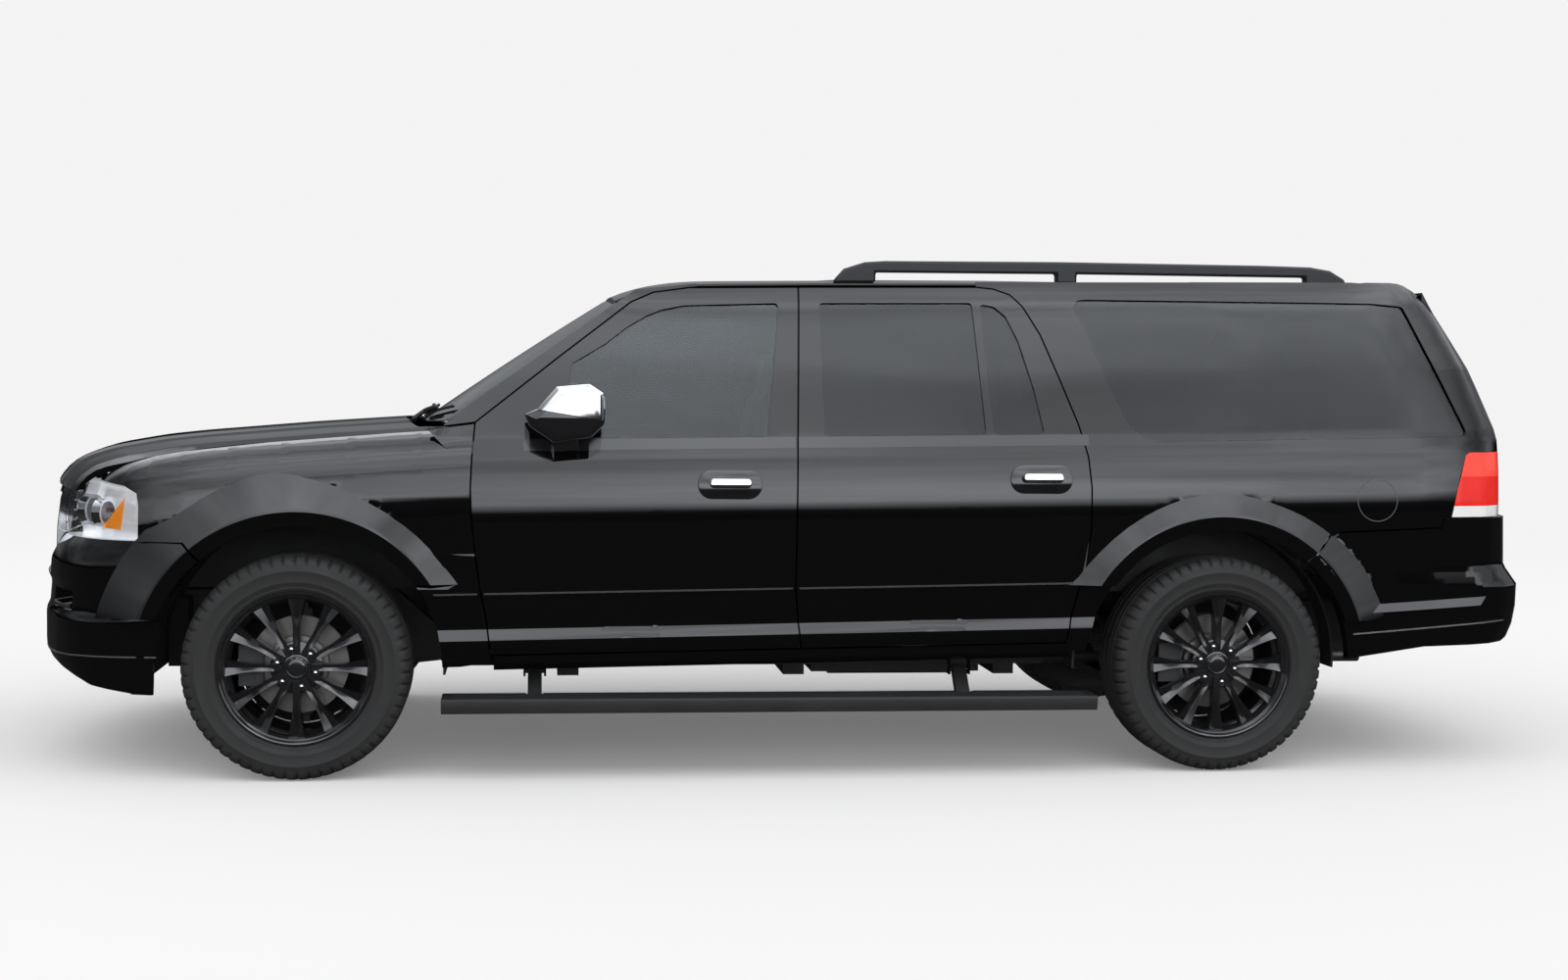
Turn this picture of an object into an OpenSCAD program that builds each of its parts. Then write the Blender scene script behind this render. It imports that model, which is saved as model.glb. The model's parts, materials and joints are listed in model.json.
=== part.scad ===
// Full-size long-wheelbase sport utility vehicle, built in millimetres.
// X runs rearward, Y to the vehicle's right, Z up; the origin is on the ground under the middle.

/* [Overall] */
// Overall length between the bumpers
length = 5646; // [5300:1:6000]
// Nose to front axle
front_overhang = 1012; // [900:1:1150]
// Distance between the axles
wheelbase = 3327; // [3150:1:3500]
// Half track, middle of the car to middle of the tyre
half_track = 852; // [800:1:880]
// Rise of the body lines from front to rear, in degrees
rake_deg = 1.1; // [0:0.1:2]

/* [Panels] */
// Shut line between two panels
gap = 6; // [5.5:0.5:9]
// Seat clearance between fixed pieces
seat = 0.3; // [0.1:0.1:0.6]
// Outer layer of a door, from the skin inward
door_skin = 32; // [24:1:40]
// Whole door below the belt
door_depth = 110; // [90:1:130]
// Whole door frame above the belt
frame_depth = 46; // [40:1:60]
// Step from the skin's edge to the inner door layer
door_step = 28; // [22:1:36]
// Fender wall
fender_wall = 30; // [20:1:40]
// Body side wall at the quarter
side_wall = 110; // [90:1:130]
// Glass sheet
glass_t = 8; // [5:1:10]
// Glass set back from the skin
glass_in = 8; // [4:1:14]

/* [Doors] */
// Front door leading edge behind the front axle
door_start = 600; // [590:1:640]
// Front door length
front_door = 1150; // [1100:1:1200]
// Rear door length
rear_door = 1081; // [1040:1:1120]

/* [Heights] */
// Sill bottom on the raked datum
sill_z = 427; // [410:1:440]
// Door bottom
door_z = 458; // [452:1:470]
// Lower trim crease
trim_z = 680; // [660:1:700]
// Bottom of the belt moulding
belt_z = 1178; // [1160:1:1190]
// Bottom of the door glass
glass_z = 1221; // [1212:1:1232]
// Top of the door glass
glass_top = 1702; // [1690:1:1715]
// Top of the doors
door_top = 1761; // [1752:1:1775]

/* [Wheels] */
// Tyre radius under load
tyre_r = 395; // [385:1:405]
// Tyre width
tyre_w = 275; // [255:1:285]
// Rim flange radius
rim_r = 270; // [262:1:276]
// Rim barrel inner radius
barrel_r = 229; // [224:1:234]
// Spokes of a wheel
spokes = 12; // [6:1:14]
// Wheel arch opening radius
arch_r = 498; // [488:1:510]
// Flare outer radius
flare_r = 680; // [640:1:700]
// Flare lip radius
lip_r = 548; // [530:1:570]
// Half width over the flares
flare_y = 1001; // [990:1:1010]
// Spindle radius
spindle_r = 29.7; // [25:0.1:32]
// Running clearance of a spindle in its hub
spindle_fit = 0.3; // [0.1:0.1:0.5]
// Kingpin distance from the wheel's middle plane
scrub = 92; // [80:1:110]

/* [Running boards] */
// Board width
board_w = 150; // [130:1:170]
// Board thickness
board_t = 42; // [30:1:50]
// Height of the board's top
board_top = 292; // [280:1:300]
// Swing arm reach outward from its pivot when the board is out
step_reach = 85; // [80:1:95]
// Swing arm fall from its pivot to its end
step_fall = 90; // [80:1:96]

/* [Hidden] */
$fn = 48;
rake = tan(rake_deg);
nose = -length / 2;
tail = length / 2;
xf = nose + front_overhang;
xr = xf + wheelbase;
xd = xf + door_start;
xb = xd + front_door;
xc = xb + rear_door;
hub_z = tyre_r;
far = 1400;

// Section of the body side: [height on the raked datum, half width]
SIDE = [
  [sill_z - 30, 905], [sill_z, 944], [512, 962], [550, 946], [trim_z - 16, 962], [trim_z, 972],
  [800, 977], [950, 976], [1060, 968], [1140, 956], [belt_z, 947], [glass_z, 938],
  [1450, 880], [glass_top, 810], [door_top - 14, 792], [door_top + 24, 760]];

// Plan of the body side: [x, inset]
PLAN = [
  [nose + 250, 135], [nose + 300, 96], [nose + 345, 72], [nose + 420, 42], [nose + 520, 22],
  [nose + 620, 11], [xf - 100, 3], [xf + 300, 0], [xr + 200, 0], [xr + 480, 8], [xr + 784, 20],
  [tail - 373, 36], [tail - 263, 66], [tail - 190, 118], [tail - 148, 190]];

// Plan of the nose: [distance from the middle, set back]
NOSE = [
  [0, 0], [200, 12], [400, 46], [550, 88], [700, 148], [800, 212], [860, 275], [905, 345],
  [935, 420], [955, 520], [966, 670]];

// Plan of the tail: [distance from the middle, set forward]
TAIL = [
  [0, 0], [300, 5], [550, 21], [700, 40], [780, 62], [850, 104], [905, 176], [932, 268], [949, 450],
    [959, 600],
  [970, 850], [974, 960]];

// Rearward lean of the D-pillar: [height, forward shift]
LEAN = [[0, 0], [1196, 0], [1450, 92], [1700, 215], [1800, 270]];

// Hood middle line: [behind the nose, height]
HOOD = [
  [46, 1032], [56, 1054], [81, 1076], [133, 1113], [243, 1149], [423, 1182], [568, 1199],
  [987, 1237], [1323, 1262], [1440, 1268]];
hood_edge = 830;
// Fall of the hood from the middle to its edge: [distance from the middle, drop]
HOOD_FALL = [[0, 0], [300, 3], [470, 7], [520, 14], [720, 23], [hood_edge, 30]];

roof_back = xr + 860;
// Roof middle line: [x, height]
ROOF = [
  [xd + 500, 1735], [xd + 545, 1757], [xd + 640, 1781], [xd + 720, 1794], [xd + 800, 1801], [xb + 40, 1811],
  [xb + 720, 1824], [xr - 100, 1829], [xr + 600, 1828], [xr + 780, 1817], [roof_back, 1806]];
roof_edge = 764;
// Roof: [distance from the middle, drop of the skin, drop of the lining]
ROOF_FALL = [[0, 0, 30], [250, 3, 33], [450, 10, 40], [600, 20, 50], [700, 29, 59], [roof_edge, 36, 42]];

function rk(p) = [p[0], p[1] + rake * p[0]];
function rks(l) = [for (p = l) rk(p)];
function half(x, zb) = lookup(zb, SIDE) - lookup(x, PLAN);
// Knots of a table between two ends
function knots(t, a, b) = concat([a], [for (r = t) if (r[0] > a + 2 && r[0] < b - 2) r[0]], [b]);
function both(l) = concat([for (i = [len(l) - 1:-1:1]) -l[i]], l);
function arc(cx, cz, r, a0, a1, n) =
  [for (i = [0:n]) [cx + r * cos(a0 + (a1 - a0) * i / n), cz + r * sin(a0 + (a1 - a0) * i / n)]];

// Closed solid between an outer and an inner grid of points
module grid_solid(a, b) {
  n = len(a) - 1;
  m = len(a[0]) - 1;
  w = m + 1;
  o = (n + 1) * w;
  polyhedron(
    points = concat([for (r = a) each r], [for (r = b) each r]),
    faces = concat(
      [for (i = [0:n - 1], j = [0:m - 1]) [i * w + j, i * w + j + 1, i * w + w + j + 1, i * w + w + j]],
      [for (i = [0:n - 1], j = [0:m - 1]) [o + i * w + j, o + i * w + w + j, o + i * w + w + j + 1,
        o + i * w + j + 1]],
      [for (i = [0:n - 1]) [i * w, i * w + w, o + i * w + w, o + i * w]],
      [for (i = [0:n - 1]) [i * w + w + m, i * w + m, o + i * w + m, o + i * w + w + m]],
      [for (j = [0:m - 1]) [j + 1, j, o + j, o + j + 1]],
      [for (j = [0:m - 1]) [n * w + j, n * w + j + 1, o + n * w + j + 1, o + n * w + j]]));
}

// Left side wall between two depths from the skin, with the D-pillar's lean if asked
module side_slab(x0, x1, z0, z1, d0, d1, lean = 0) {
  xs = knots(PLAN, x0, x1);
  zs = knots(SIDE, z0, z1);
  function sx(x, z) = x - lean * lookup(z, LEAN);
  grid_solid(
    [for (x = xs) [for (z = zs) [sx(x, z), -half(x, z) + d0, z + rake * sx(x, z)]]],
    [for (x = xs) [for (z = zs) [sx(x, z), -half(x, z) + d1, z + rake * sx(x, z)]]]);
}

// Prism through the left side of the car from a side view outline
module side_cut(y0 = 0, y1 = far) {
  translate([0, -y0, 0])
    rotate([90, 0, 0])
      linear_extrude(y1 - y0)
        children();
}

// Prism straight up from a plan outline
module plan_cut(z0, z1) {
  translate([0, 0, z0])
    linear_extrude(z1 - z0)
      children();
}

module box(a, b) {
  translate(a)
    cube(b - a);
}

module both_sides() {
  children();
  mirror([0, 1, 0])
    children();
}

module right_side() {
  mirror([0, 1, 0])
    children();
}

// Side view lines shared by neighbouring panels, top to bottom, [x, height on the raked datum]
A_LINE = [
  [xd + 10, 1280], [xd + 300, 1508], [xd + 558, 1706], [xd + 640, 1742], [xd + 769, door_top - 2]];
FRONT_LINE = [
  [xd + 10, 1280], [xd, 1158], [xd - 4, 1047], [xd + 1, 934], [xd + 18, 787], [xd + 33, trim_z + 5],
  [xd + 51, 598], [xd + 74, door_z - 28]];
B_LINE = [[xb + 18, door_top], [xb + 3, 1197], [xb, 880], [xb - 1, trim_z], [xb + 26, door_z - 28]];
C_LINE = [
  [xc - 404, door_top], [xc - 338, 1754], [xc - 278, 1732], [xc - 234, 1688], [xc - 173, 1584],
  [xc - 105, 1413], [xc - 44, 1253], [xc - 12, 1138], [xc, 1024], [xc, 872], [xc - 23, 732],
  [xc - 38, 660], [xc - 60, 561], [xc - 88, door_z - 28]];

function rev(l) = [for (i = [len(l) - 1:-1:0]) l[i]];

module front_door_shape() {
  offset(delta = -gap / 2)
    intersection() {
      polygon(rks(concat(A_LINE, B_LINE, rev(FRONT_LINE))));
      polygon(rks([[xd - 99, door_z], [xd - 99, door_top], [xb + 99, door_top], [xb + 99, door_z]]));
    }
}

module rear_door_shape() {
  offset(delta = -gap / 2)
    intersection() {
      polygon(rks(concat(B_LINE, rev(C_LINE))));
      polygon(rks([[xb - 99, door_z], [xb - 99, door_top], [xc + 99, door_top], [xc + 99, door_z]]));
    }
}

module soft_corners(r) {
  offset(r = r, $fn = 20)
    offset(delta = -r)
      children();
}

module front_window_shape() {
  soft_corners(14)
    polygon(rks([
      [xd + 319, glass_z], [xd + 349, 1486], [xd + 465, 1555], [xd + 544, 1616], [xd + 613, 1656],
      [xd + 667, 1678], [xd + 748, glass_top - 8], [xb - 58, glass_top], [xb - 106, glass_z]]));
}

module rear_window_shape() {
  soft_corners(14) {
    polygon(rks([[xb + 90, glass_top], [xb + 102, glass_z], [xc - 388, glass_z], [xc - 424, glass_top]]));
    polygon(rks([
      [xc - 396, glass_top - 4], [xc - 342, glass_top - 14], [xc - 298, 1650], [xc - 256, 1561],
      [xc - 205, 1385], [xc - 171, glass_z], [xc - 361, glass_z]]));
  }
}

module quarter_window_shape() {
  soft_corners(20)
    polygon(rks([
      [xr - 536, 1685], [xr - 522, 1712], [xr - 485, 1714], [xr + 623, 1700], [xr + 757, 1688],
      [xr + 978, 1196], [xr + 278, 1193], [xr - 240, 1188], [xr - 314, 1215], [xr - 366, 1274]]));
}

module front_arch() {
  polygon(concat([[xf + arch_r, -99], [xf - arch_r, -99]], arc(xf, hub_z, arch_r, 180, 0, 24)));
}

module rear_arch() {
  polygon(concat([[xr + arch_r, -99], [xr - arch_r, -99]], arc(xr, hub_z, arch_r, 180, 0, 24)));
}

flare_in = 954;
no_flare = 1299;

// Conical flare round an arch, left side, between two floors
module flare(x, floor_front, floor_rear) {
  intersection() {
    translate([x, -flare_in, hub_z])
      rotate([90, 0, 0])
        difference() {
          linear_extrude(flare_y - flare_in, scale = lip_r / flare_r)
            circle(flare_r, $fn = 56);
          translate([0, 0, -1])
            linear_extrude(flare_y - flare_in + 2)
              circle(arch_r + 1, $fn = 48);
        }
    side_cut(0, far)
      polygon([[x - 900, floor_front], [x - 900, 1300], [x + 900, 1300], [x + 900, floor_rear],
        [x, floor_rear], [x, floor_front]]);
  }
}

// Bumper seams in the side view
front_seam = [[nose + 478, 834], [nose + 630, 832], [nose + 668, 786], [xf - 308, 762]];
rear_seam = [[xr + 310, 775], [xr + 355, 817], [xr + 455, 887], [tail - 450, 904], [tail - 440, 943]];

// Shut line between the headlamp and the fender, from its tip down
lamp_line = [
  [nose + 300, 1038], [nose + 341, 1034], [nose + 423, 1021], [nose + 467, 996], [nose + 474, 956],
    [nose + 474, 838]];

module front_fender_shape() {
  offset(delta = -gap / 2)
    difference() {
      polygon(concat(
        lamp_line,
        front_seam,
        [[xf, hub_z], [xf, 300]],
        [rk([xd + 74, sill_z + 3])],
        [for (p = rev(FRONT_LINE)) if (p[1] > sill_z + 8) rk(p)],
        [[xd + 10, 1420], [nose + 300, 1420]]));
      front_arch();
    }
}

// Fender wall: a rail along the hood's edge, swept by a falling profile
FENDER = [[0, 0], [10, 34], [30, 62], [70, 88], [130, 104], [220, 114], [300, 117], [480, 118]];
function hood_z(x, y) = lookup(x - nose - lookup(y, NOSE), HOOD) - lookup(y, HOOD_FALL);

module fender() {
  xs = concat([nose + 310], [for (r = PLAN) if (r[0] > nose + 320 && r[0] < xd - 80) r[0]],
    [xd - 60, xd + 40]);
  rail = [for (x = xs) [x, fender_edge(x), hood_z(x, hood_edge)]];
  intersection() {
    union() {
      grid_solid(
        [for (p = rail) [for (q = rev(FENDER)) [p[0], -p[1] - q[1], p[2] - q[0]]]],
        [for (p = rail) [for (q = rev(FENDER)) [p[0],
          -p[1] - max(0, q[1] - fender_wall), p[2] - q[0] - min(fender_wall, 480 - q[0])]]]);
      side_slab(xf + 200, xd + 90, sill_z - 10, 820, 0, fender_wall);
      flare(xf, 832, 690);
      fender_flange();
      // Corner that rises to the windshield post
      intersection() {
        side_slab(xd - 160, xd + 40, 1180, 1300, 0, fender_wall);
        side_cut()
          polygon(rks([[xd - 150, 1252], [xd - 110, 1266 - gap], [xd + 10, 1280 - gap],
            [xd + 10, 1190], [xd - 90, 1190]]));
      }
    }
    side_cut()
      front_fender_shape();
  }
}

module fender_left() {
  color("#101113")
    fender();
}

module fender_right() {
  color("#101113")
    right_side()
      fender();
}

// Roof, hood and front structure

function fall(y) = lookup(abs(y), [for (r = ROOF_FALL) [r[0], r[1]]]);
function under(y) = lookup(abs(y), [for (r = ROOF_FALL) [r[0], r[2]]]);
roof_ys = both([for (r = ROOF_FALL) r[0]]);
function roof_half(x) = roof_edge - lookup(x + lookup(door_top, LEAN), PLAN);

module roof_form(up, down) {
  grid_solid(
    [for (r = ROOF) [for (y = roof_ys) [r[0], y, r[1] - fall(y) + up]]],
    [for (r = ROOF) [for (y = roof_ys) [r[0], y, r[1] - under(y) - down]]]);
}

module roof_plan(grow) {
  xs = [for (r = ROOF) r[0]];
  polygon(concat(
    [for (x = xs) [x, -roof_half(x) - grow]],
    [for (x = rev(xs)) [x, roof_half(x) + grow]]));
}

module roof_panel() {
  color("#0e0f11")
    intersection() {
      roof_form(0, 0);
      plan_cut(1500, 2000)
        roof_plan(0);
    }
}

// Space of the roof, kept free in the body sides
module roof_space() {
  intersection() {
    roof_form(60, seat);
    plan_cut(1500, 2000)
      roof_plan(0.5);
  }
}

hood_back = nose + 1333;
hood_back_bow = 110;
hood_t = 22;
hood_ys = both([for (r = HOOD_FALL) r[0]]);
// Inner edge of the fender, and the hood's edge one shut line inside it
function fender_edge(x) = 977 - 118 - lookup(x, PLAN);
function hood_side(x) = min(hood_edge - 0.5, fender_edge(x) - gap);
hood_side_xs = concat([nose - 50], [for (r = PLAN) if (r[0] > nose + 260 && r[0] < nose + 700) r[0]]);

// Sheet of the hood, grown above and below
module hood_form(up, down) {
  ss = [for (r = HOOD) r[0]];
  grid_solid(
    [for (s = ss) [for (y = hood_ys) [nose + s + lookup(abs(y), NOSE), y,
      lookup(s, HOOD) - lookup(abs(y), HOOD_FALL) + up]]],
    [for (s = ss) [for (y = hood_ys) [nose + s + lookup(abs(y), NOSE) + (s < 60 ? hood_t : 0), y,
      lookup(s, HOOD) - lookup(abs(y), HOOD_FALL) - (s < 50 ? 0 : hood_t) - down]]]);
}

module hood() {
  color("#101113")
    intersection() {
      hood_form(0, 0);
      plan_cut(800, 1500)
        polygon(concat(
          [for (x = rev(hood_side_xs)) [x, hood_side(x)]],
          [for (x = hood_side_xs) [x, -hood_side(x)]],
          [for (k = [-1:0.2:1.01]) [hood_back + hood_back_bow * k * k, k * (hood_edge - 0.5)]]));
    }
}

// Body sides

module lamp_shape() {
  polygon([
    [tail - 349, 1176], [tail - 387, 1054], [tail - 411, 943], [tail + 60, 943], [tail + 60, 1188],
    [tail - 330, 1186]]);
}

module quarter_shape() {
  offset(delta = -gap / 2)
    difference() {
      polygon(concat(
        rks(C_LINE),
        [rk([xc - 88, sill_z - 3]), rk([xr - 300, sill_z - 3]), [xr - 300, hub_z], [xr, hub_z]],
        rear_seam,
        [[tail + 60, 943], [tail + 60, 1900], [xc - 404, 1900]]));
      rear_arch();
    }
}

module quarter() {
  difference() {
    union() {
      intersection() {
        side_slab(xc - 420, tail - 148, sill_z - 20, door_top + 20, 0, side_wall, 1);
        side_cut()
          quarter_shape();
      }
      intersection() {
        flare(xr, 690, 700);
        side_cut()
          quarter_shape();
      }
    }
    side_cut()
      quarter_window_shape();
    side_cut()
      lamp_shape();
    box([tail - 700, -gate_half - gap, 500], [tail + 100, 0, 2000]);
  }
}

gate_half = 700;
floor_half = 740;
floor_z = 455;
floor_t = 18;
liner_t = 8;
liner_gap = 4;
post_x = xf + arch_r + liner_gap + liner_t + seat;
wall_t = 20;
wall_x = post_x + wall_t;
post_in = 700;
seal_z = 494;

module body_side() {
  difference() {
    union() {
      quarter();
      side_slab(xd + 80, xc - 60, sill_z - 26, door_z - gap / 2, 0, 150);
      side_slab(post_x, xd + 84, sill_z - 6, door_z - gap / 2, fender_wall + seat, 140);
      box([post_x, -floor_half - seat - 90, sill_z - 12], [xc - 60, -floor_half - seat, 540]);
      intersection() {
        side_slab(post_x, xd - 18, sill_z - 5, 1286, fender_wall + seat, 140);
        side_cut(0, far)
          translate([xd - 140, 0])
            square([140, 880]);
      }
      intersection() {
        side_slab(xd - 160, xd + 800, 1240, door_top + 20, 0, 75);
        side_cut()
          offset(delta = -gap / 2)
            polygon(rks(concat(
              [[xd - 110, 1266]], A_LINE, [[xd + 800, door_top], [xd + 800, door_top + 16],
                [xd + 540, door_top - 8], [xd + 455, 1716], [xd + 195, 1514]])));
      }
      intersection() {
        side_slab(xd - 160, xd + 800, 1240, door_top + 20, frame_depth + 12, 118);
        side_cut()
          polygon(rks(concat(
            [for (p = A_LINE) p + [24, -30]],
            [for (p = rev(A_LINE)) p + [-12, 8]])));
      }
      box([post_x, -870, 870], [xd - 20, -780, 1150]);
      box([post_x, -850, 1090], [xd - 20, -post_in, 1150]);
      box([post_x, -post_in - 65, 1090], [xd - 20, -post_in, 1254]);
      box([post_x, -880, 1240], [xd - 14, -post_in, 1254]);
      for (x = step_xs)
        step_ears(x, step_pivot, 70);
      side_slab(xd + 600, xc - 300, 1694, door_top - 8, frame_depth + 20, 136);
      side_slab(xb - 75, xb + 75, door_z + 10, 1200, door_depth + 26, door_depth + 90);
      side_slab(xb - 65, xb + 65, 1192, 1720, frame_depth + 22, 140);
      side_slab(xb - 75, xb + 75, 1180, 1215, door_depth + 18, door_depth + 90);
      // Weatherstrips that the closed doors and tailgate bear on
      for (x = [[xd + 250, xb - 60], [xb + 250, xc - 160]])
        side_slab(x[0], x[1], seal_z, seal_z + 36, door_depth + seat, door_depth + 32);
      intersection() {
        gate_form(gate_wall + seat, gate_wall + 30, gate_half + 50);
        box([tail - 600, -gate_half - 50, 1215], [tail, -gate_half + 40, 1680]);
      }
    }
    roof_space();
  }
}

module body_side_left() {
  color("#101113")
    body_side();
}

module body_side_right() {
  color("#101113")
    right_side()
      body_side();
}

// Doors, their glass and the mirrors

module door_layers(x0, x1) {
  intersection() {
    side_slab(x0, x1, door_z - 20, door_top + 10, 0, door_skin);
    side_cut()
      children(0);
  }
  intersection() {
    side_slab(x0, x1, door_z - 20, belt_z, door_skin - 1, door_depth);
    side_cut()
      offset(delta = -door_step)
        children(0);
  }
  intersection() {
    side_slab(x0, x1, belt_z - 1, door_top + 10, door_skin - 1, frame_depth);
    side_cut()
      offset(delta = -6)
        children(0);
  }
}

module front_door() {
  difference() {
    door_layers(xd - 60, xb + 60)
      front_door_shape();
    side_cut()
      front_window_shape();
  }
}

module rear_door() {
  difference() {
    door_layers(xb - 60, xc + 60)
      rear_door_shape();
    side_cut()
      rear_window_shape();
  }
}

module door_pane(x0, x1, z0) {
  intersection() {
    side_slab(x0, x1, z0, door_top, glass_in, glass_in + glass_t, 1);
    side_cut()
      offset(delta = -seat)
        children(0);
  }
}

module front_door_left() {
  color("#101113")
    front_door();
}

module front_door_right() {
  color("#101113")
    right_side()
      front_door();
}

module rear_door_left() {
  color("#101113")
    rear_door();
}

module rear_door_right() {
  color("#101113")
    right_side()
      rear_door();
}

module front_glass_left() {
  color("#2c343b", 0.6)
    door_pane(xd + 200, xb + 300, 1150)
      front_window_shape();
}

module front_glass_right() {
  color("#2c343b", 0.6)
    right_side()
      door_pane(xd + 200, xb + 300, 1150)
        front_window_shape();
}

module rear_glass_left() {
  color("#1b2025", 0.7)
    door_pane(xb - 20, xc + 20, 1150)
      rear_window_shape();
}

module rear_glass_right() {
  color("#1b2025", 0.7)
    right_side()
      door_pane(xb - 20, xc + 20, 1150)
        rear_window_shape();
}

mirror_x = xd + 320;
mirror_z = 1300;
mirror_y = 1100;

// Mirror housing seen from the front, swept in depth, on a foot that seats on the door's sail
module mirror_head() {
  intersection() {
    translate([mirror_x, -mirror_y, mirror_z])
      rotate([90, 0, 90])
        linear_extrude(230, center = true)
          soft_corners(34)
            polygon([[-66, 96], [-120, 40], [-118, -70], [-60, -98], [100, -74], [118, -20], [112, 92]]);
    side_cut()
      soft_corners(24)
        polygon([
          [mirror_x - 140, mirror_z - 8], [mirror_x - 120, mirror_z - 50], [mirror_x - 40, mirror_z - 100],
          [mirror_x + 140, mirror_z - 70], [mirror_x + 140, mirror_z + 84], [mirror_x + 90, mirror_z + 100],
          [mirror_x - 30, mirror_z + 90], [mirror_x - 95, mirror_z + 20]]);
  }
  difference() {
    box([mirror_x - 80, -mirror_y, mirror_z - 90], [mirror_x + 70, -880, mirror_z - 52]);
    side_slab(xd, xb, 1100, 1400, -seat, 200);
  }
}

module mirror_left() {
  color("#17181a")
    mirror_head();
}

module mirror_right() {
  color("#17181a")
    right_side()
      mirror_head();
}

// Windshield sheet: base and top lines, then cut by the body sides
module windshield() {
  ts = [-1, -0.7, -0.35, 0, 0.35, 0.7, 1];
  // Rows of the sheet: [x in the middle, height in the middle, half width, bow back, drop at the side]
  rows = [
    [xf + 388, 1252, 905, 132, -12], [xf + 610, 1408, 870, 98, 8], [xf + 850, 1570, 830, 62, 26],
    [xf + 1092, 1726, 790, 16, 40]];
  function pt(t, r, dx, dz) = [r[0] + r[3] * t * t + dx, t * r[2], r[1] - r[4] * t * t + dz];
  difference() {
    grid_solid(
      [for (r = rows) [for (t = ts) pt(t, r, 0, 0)]],
      [for (r = rows) [for (t = ts) pt(t, r, glass_t * 0.55, -glass_t * 0.83)]]);
    both_sides()
      intersection() {
        side_slab(xd - 260, xd + 800, 1150, door_top + 20, -60, 75 + seat);
        side_cut()
          polygon(rks([[xd - 260, 1100], [xd - 260, 1790], [xd + 800, 1790], [xd + 800, 1100]]));
      }
    roof_form(60, seat);
  }
}

module quarter_pane() {
  intersection() {
    side_slab(xc - 420, tail - 148, 1100, door_top + 20, glass_in, glass_in + glass_t, 1);
    side_cut()
      offset(delta = -seat)
        quarter_window_shape();
  }
}

module fixed_glass() {
  color("#2a3138", 0.6) {
    windshield();
    both_sides()
      quarter_pane();
  }
}

// Nose: bumper, grille and lamps

bumper_wall = 50;
// Front bumper profile: [height, set back]
FRONT_BUMPER = [
  [300, 60], [391, 12], [418, 0], [556, 0], [568, 12], [660, 20], [680, 6], [751, 10], [800, 34],
    [834, 64]];
nose_ys = [for (r = NOSE) r[0]];

// Wall along the nose between two depths from its skin
module nose_form(prof, d0, d1, hi = 966) {
  ys = rev(both(concat([for (y = nose_ys) if (y < hi - 2) y], [hi])));
  grid_solid(
    [for (y = ys) [for (q = prof) [nose + lookup(abs(y), NOSE) + q[1] + d0, y * (1 - d0 / 1200), q[0]]]],
    [for (y = ys) [for (q = prof) [nose + lookup(abs(y), NOSE) + q[1] + d1, y * (1 - d1 / 1200), q[0]]]]);
}

grille_half = 556;

module front_bumper() {
  color("#121315")
    difference() {
      union() {
        nose_form(FRONT_BUMPER, 0, bumper_wall);
        both_sides()
          flare(xf, 570, no_flare);
      }
      both_sides()
        side_cut()
          front_arch();
      both_sides()
        side_cut()
          polygon([
            [nose - 50, 250], [nose - 50, 391], [nose + 95, 388], [nose + 195, 358], [nose + 293, 321],
              [nose + 437, 303],
            [nose + 437, 250]]);
      both_sides()
        side_cut(700, far)
          polygon([
            front_seam[0] - [gap / 2, gap / 2], front_seam[1] - [gap / 2, gap / 2],
              front_seam[2] - [gap / 2, gap / 2],
            front_seam[3] - [gap / 2, gap / 2], [xf + 50, 762], [xf + 50, no_flare],
              [nose + 474, no_flare]]);
      translate([nose - 50, -grille_half - seat, 690])
        cube([300, 2 * grille_half + 2 * seat, 300]);
      translate([nose - 50, -430, 575])
        cube([300, 860, 78]);
      both_sides()
        translate([nose - 50, -790, 578])
          cube([300, 190, 70]);
    }
}

grille_z = [690 + seat, 1004];
GRILLE = [[grille_z[0], 26], [751, 30], [860, 34], [960, 46], [grille_z[1], 60]];

module grille_bar(z, h, dx, t) {
  ys = rev(both(concat([for (y = nose_ys) if (y < grille_half - 40) y], [grille_half - 16])));
  grid_solid(
    [for (y = ys) [for (k = [0, 1]) [nose + lookup(abs(y), NOSE) + dx, y, z + k * h]]],
    [for (y = ys) [for (k = [0, 1]) [nose + lookup(abs(y), NOSE) + dx + t, y, z + k * h]]]);
}

bars = 7;
posts = 12;

module grille() {
  bar_step = (grille_z[1] - grille_z[0] - 60) / bars;
  color("#2b2d30") {
    difference() {
      nose_form(GRILLE, 0, 44, grille_half);
      translate([nose - 60, -grille_half + 34, grille_z[0] + 26])
        cube([400, 2 * grille_half - 68, grille_z[1] - grille_z[0] - 52]);
    }
    for (k = [0:bars - 1])
      grille_bar(grille_z[0] + 24 + bar_step * (k + 0.5), 12, 48 + 3 * k, 16);
    for (k = [0:posts - 1])
      translate([nose + 70 + lookup(abs((k - (posts - 1) / 2) * 84), NOSE),
        (k - (posts - 1) / 2) * 84 - 4, grille_z[0] + 20])
        cube([14, 8, grille_z[1] - grille_z[0] - 44]);
  }
}

// Headlamp profile: [height, set back]
HEADLAMP = [[834 + seat, 70], [900, 66], [960, 74], [1006, 88], [1032, 100]];
lamp_depth = 85;

module headlamp() {
  intersection() {
    headlamp_form();
    side_cut(540, far)
      offset(delta = -gap / 2)
        polygon(concat([[nose - 50, 700], [nose - 50, 1050], [nose + 250, 1050]],
          lamp_line, [[nose + 474, 700]]));
  }
}

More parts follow.
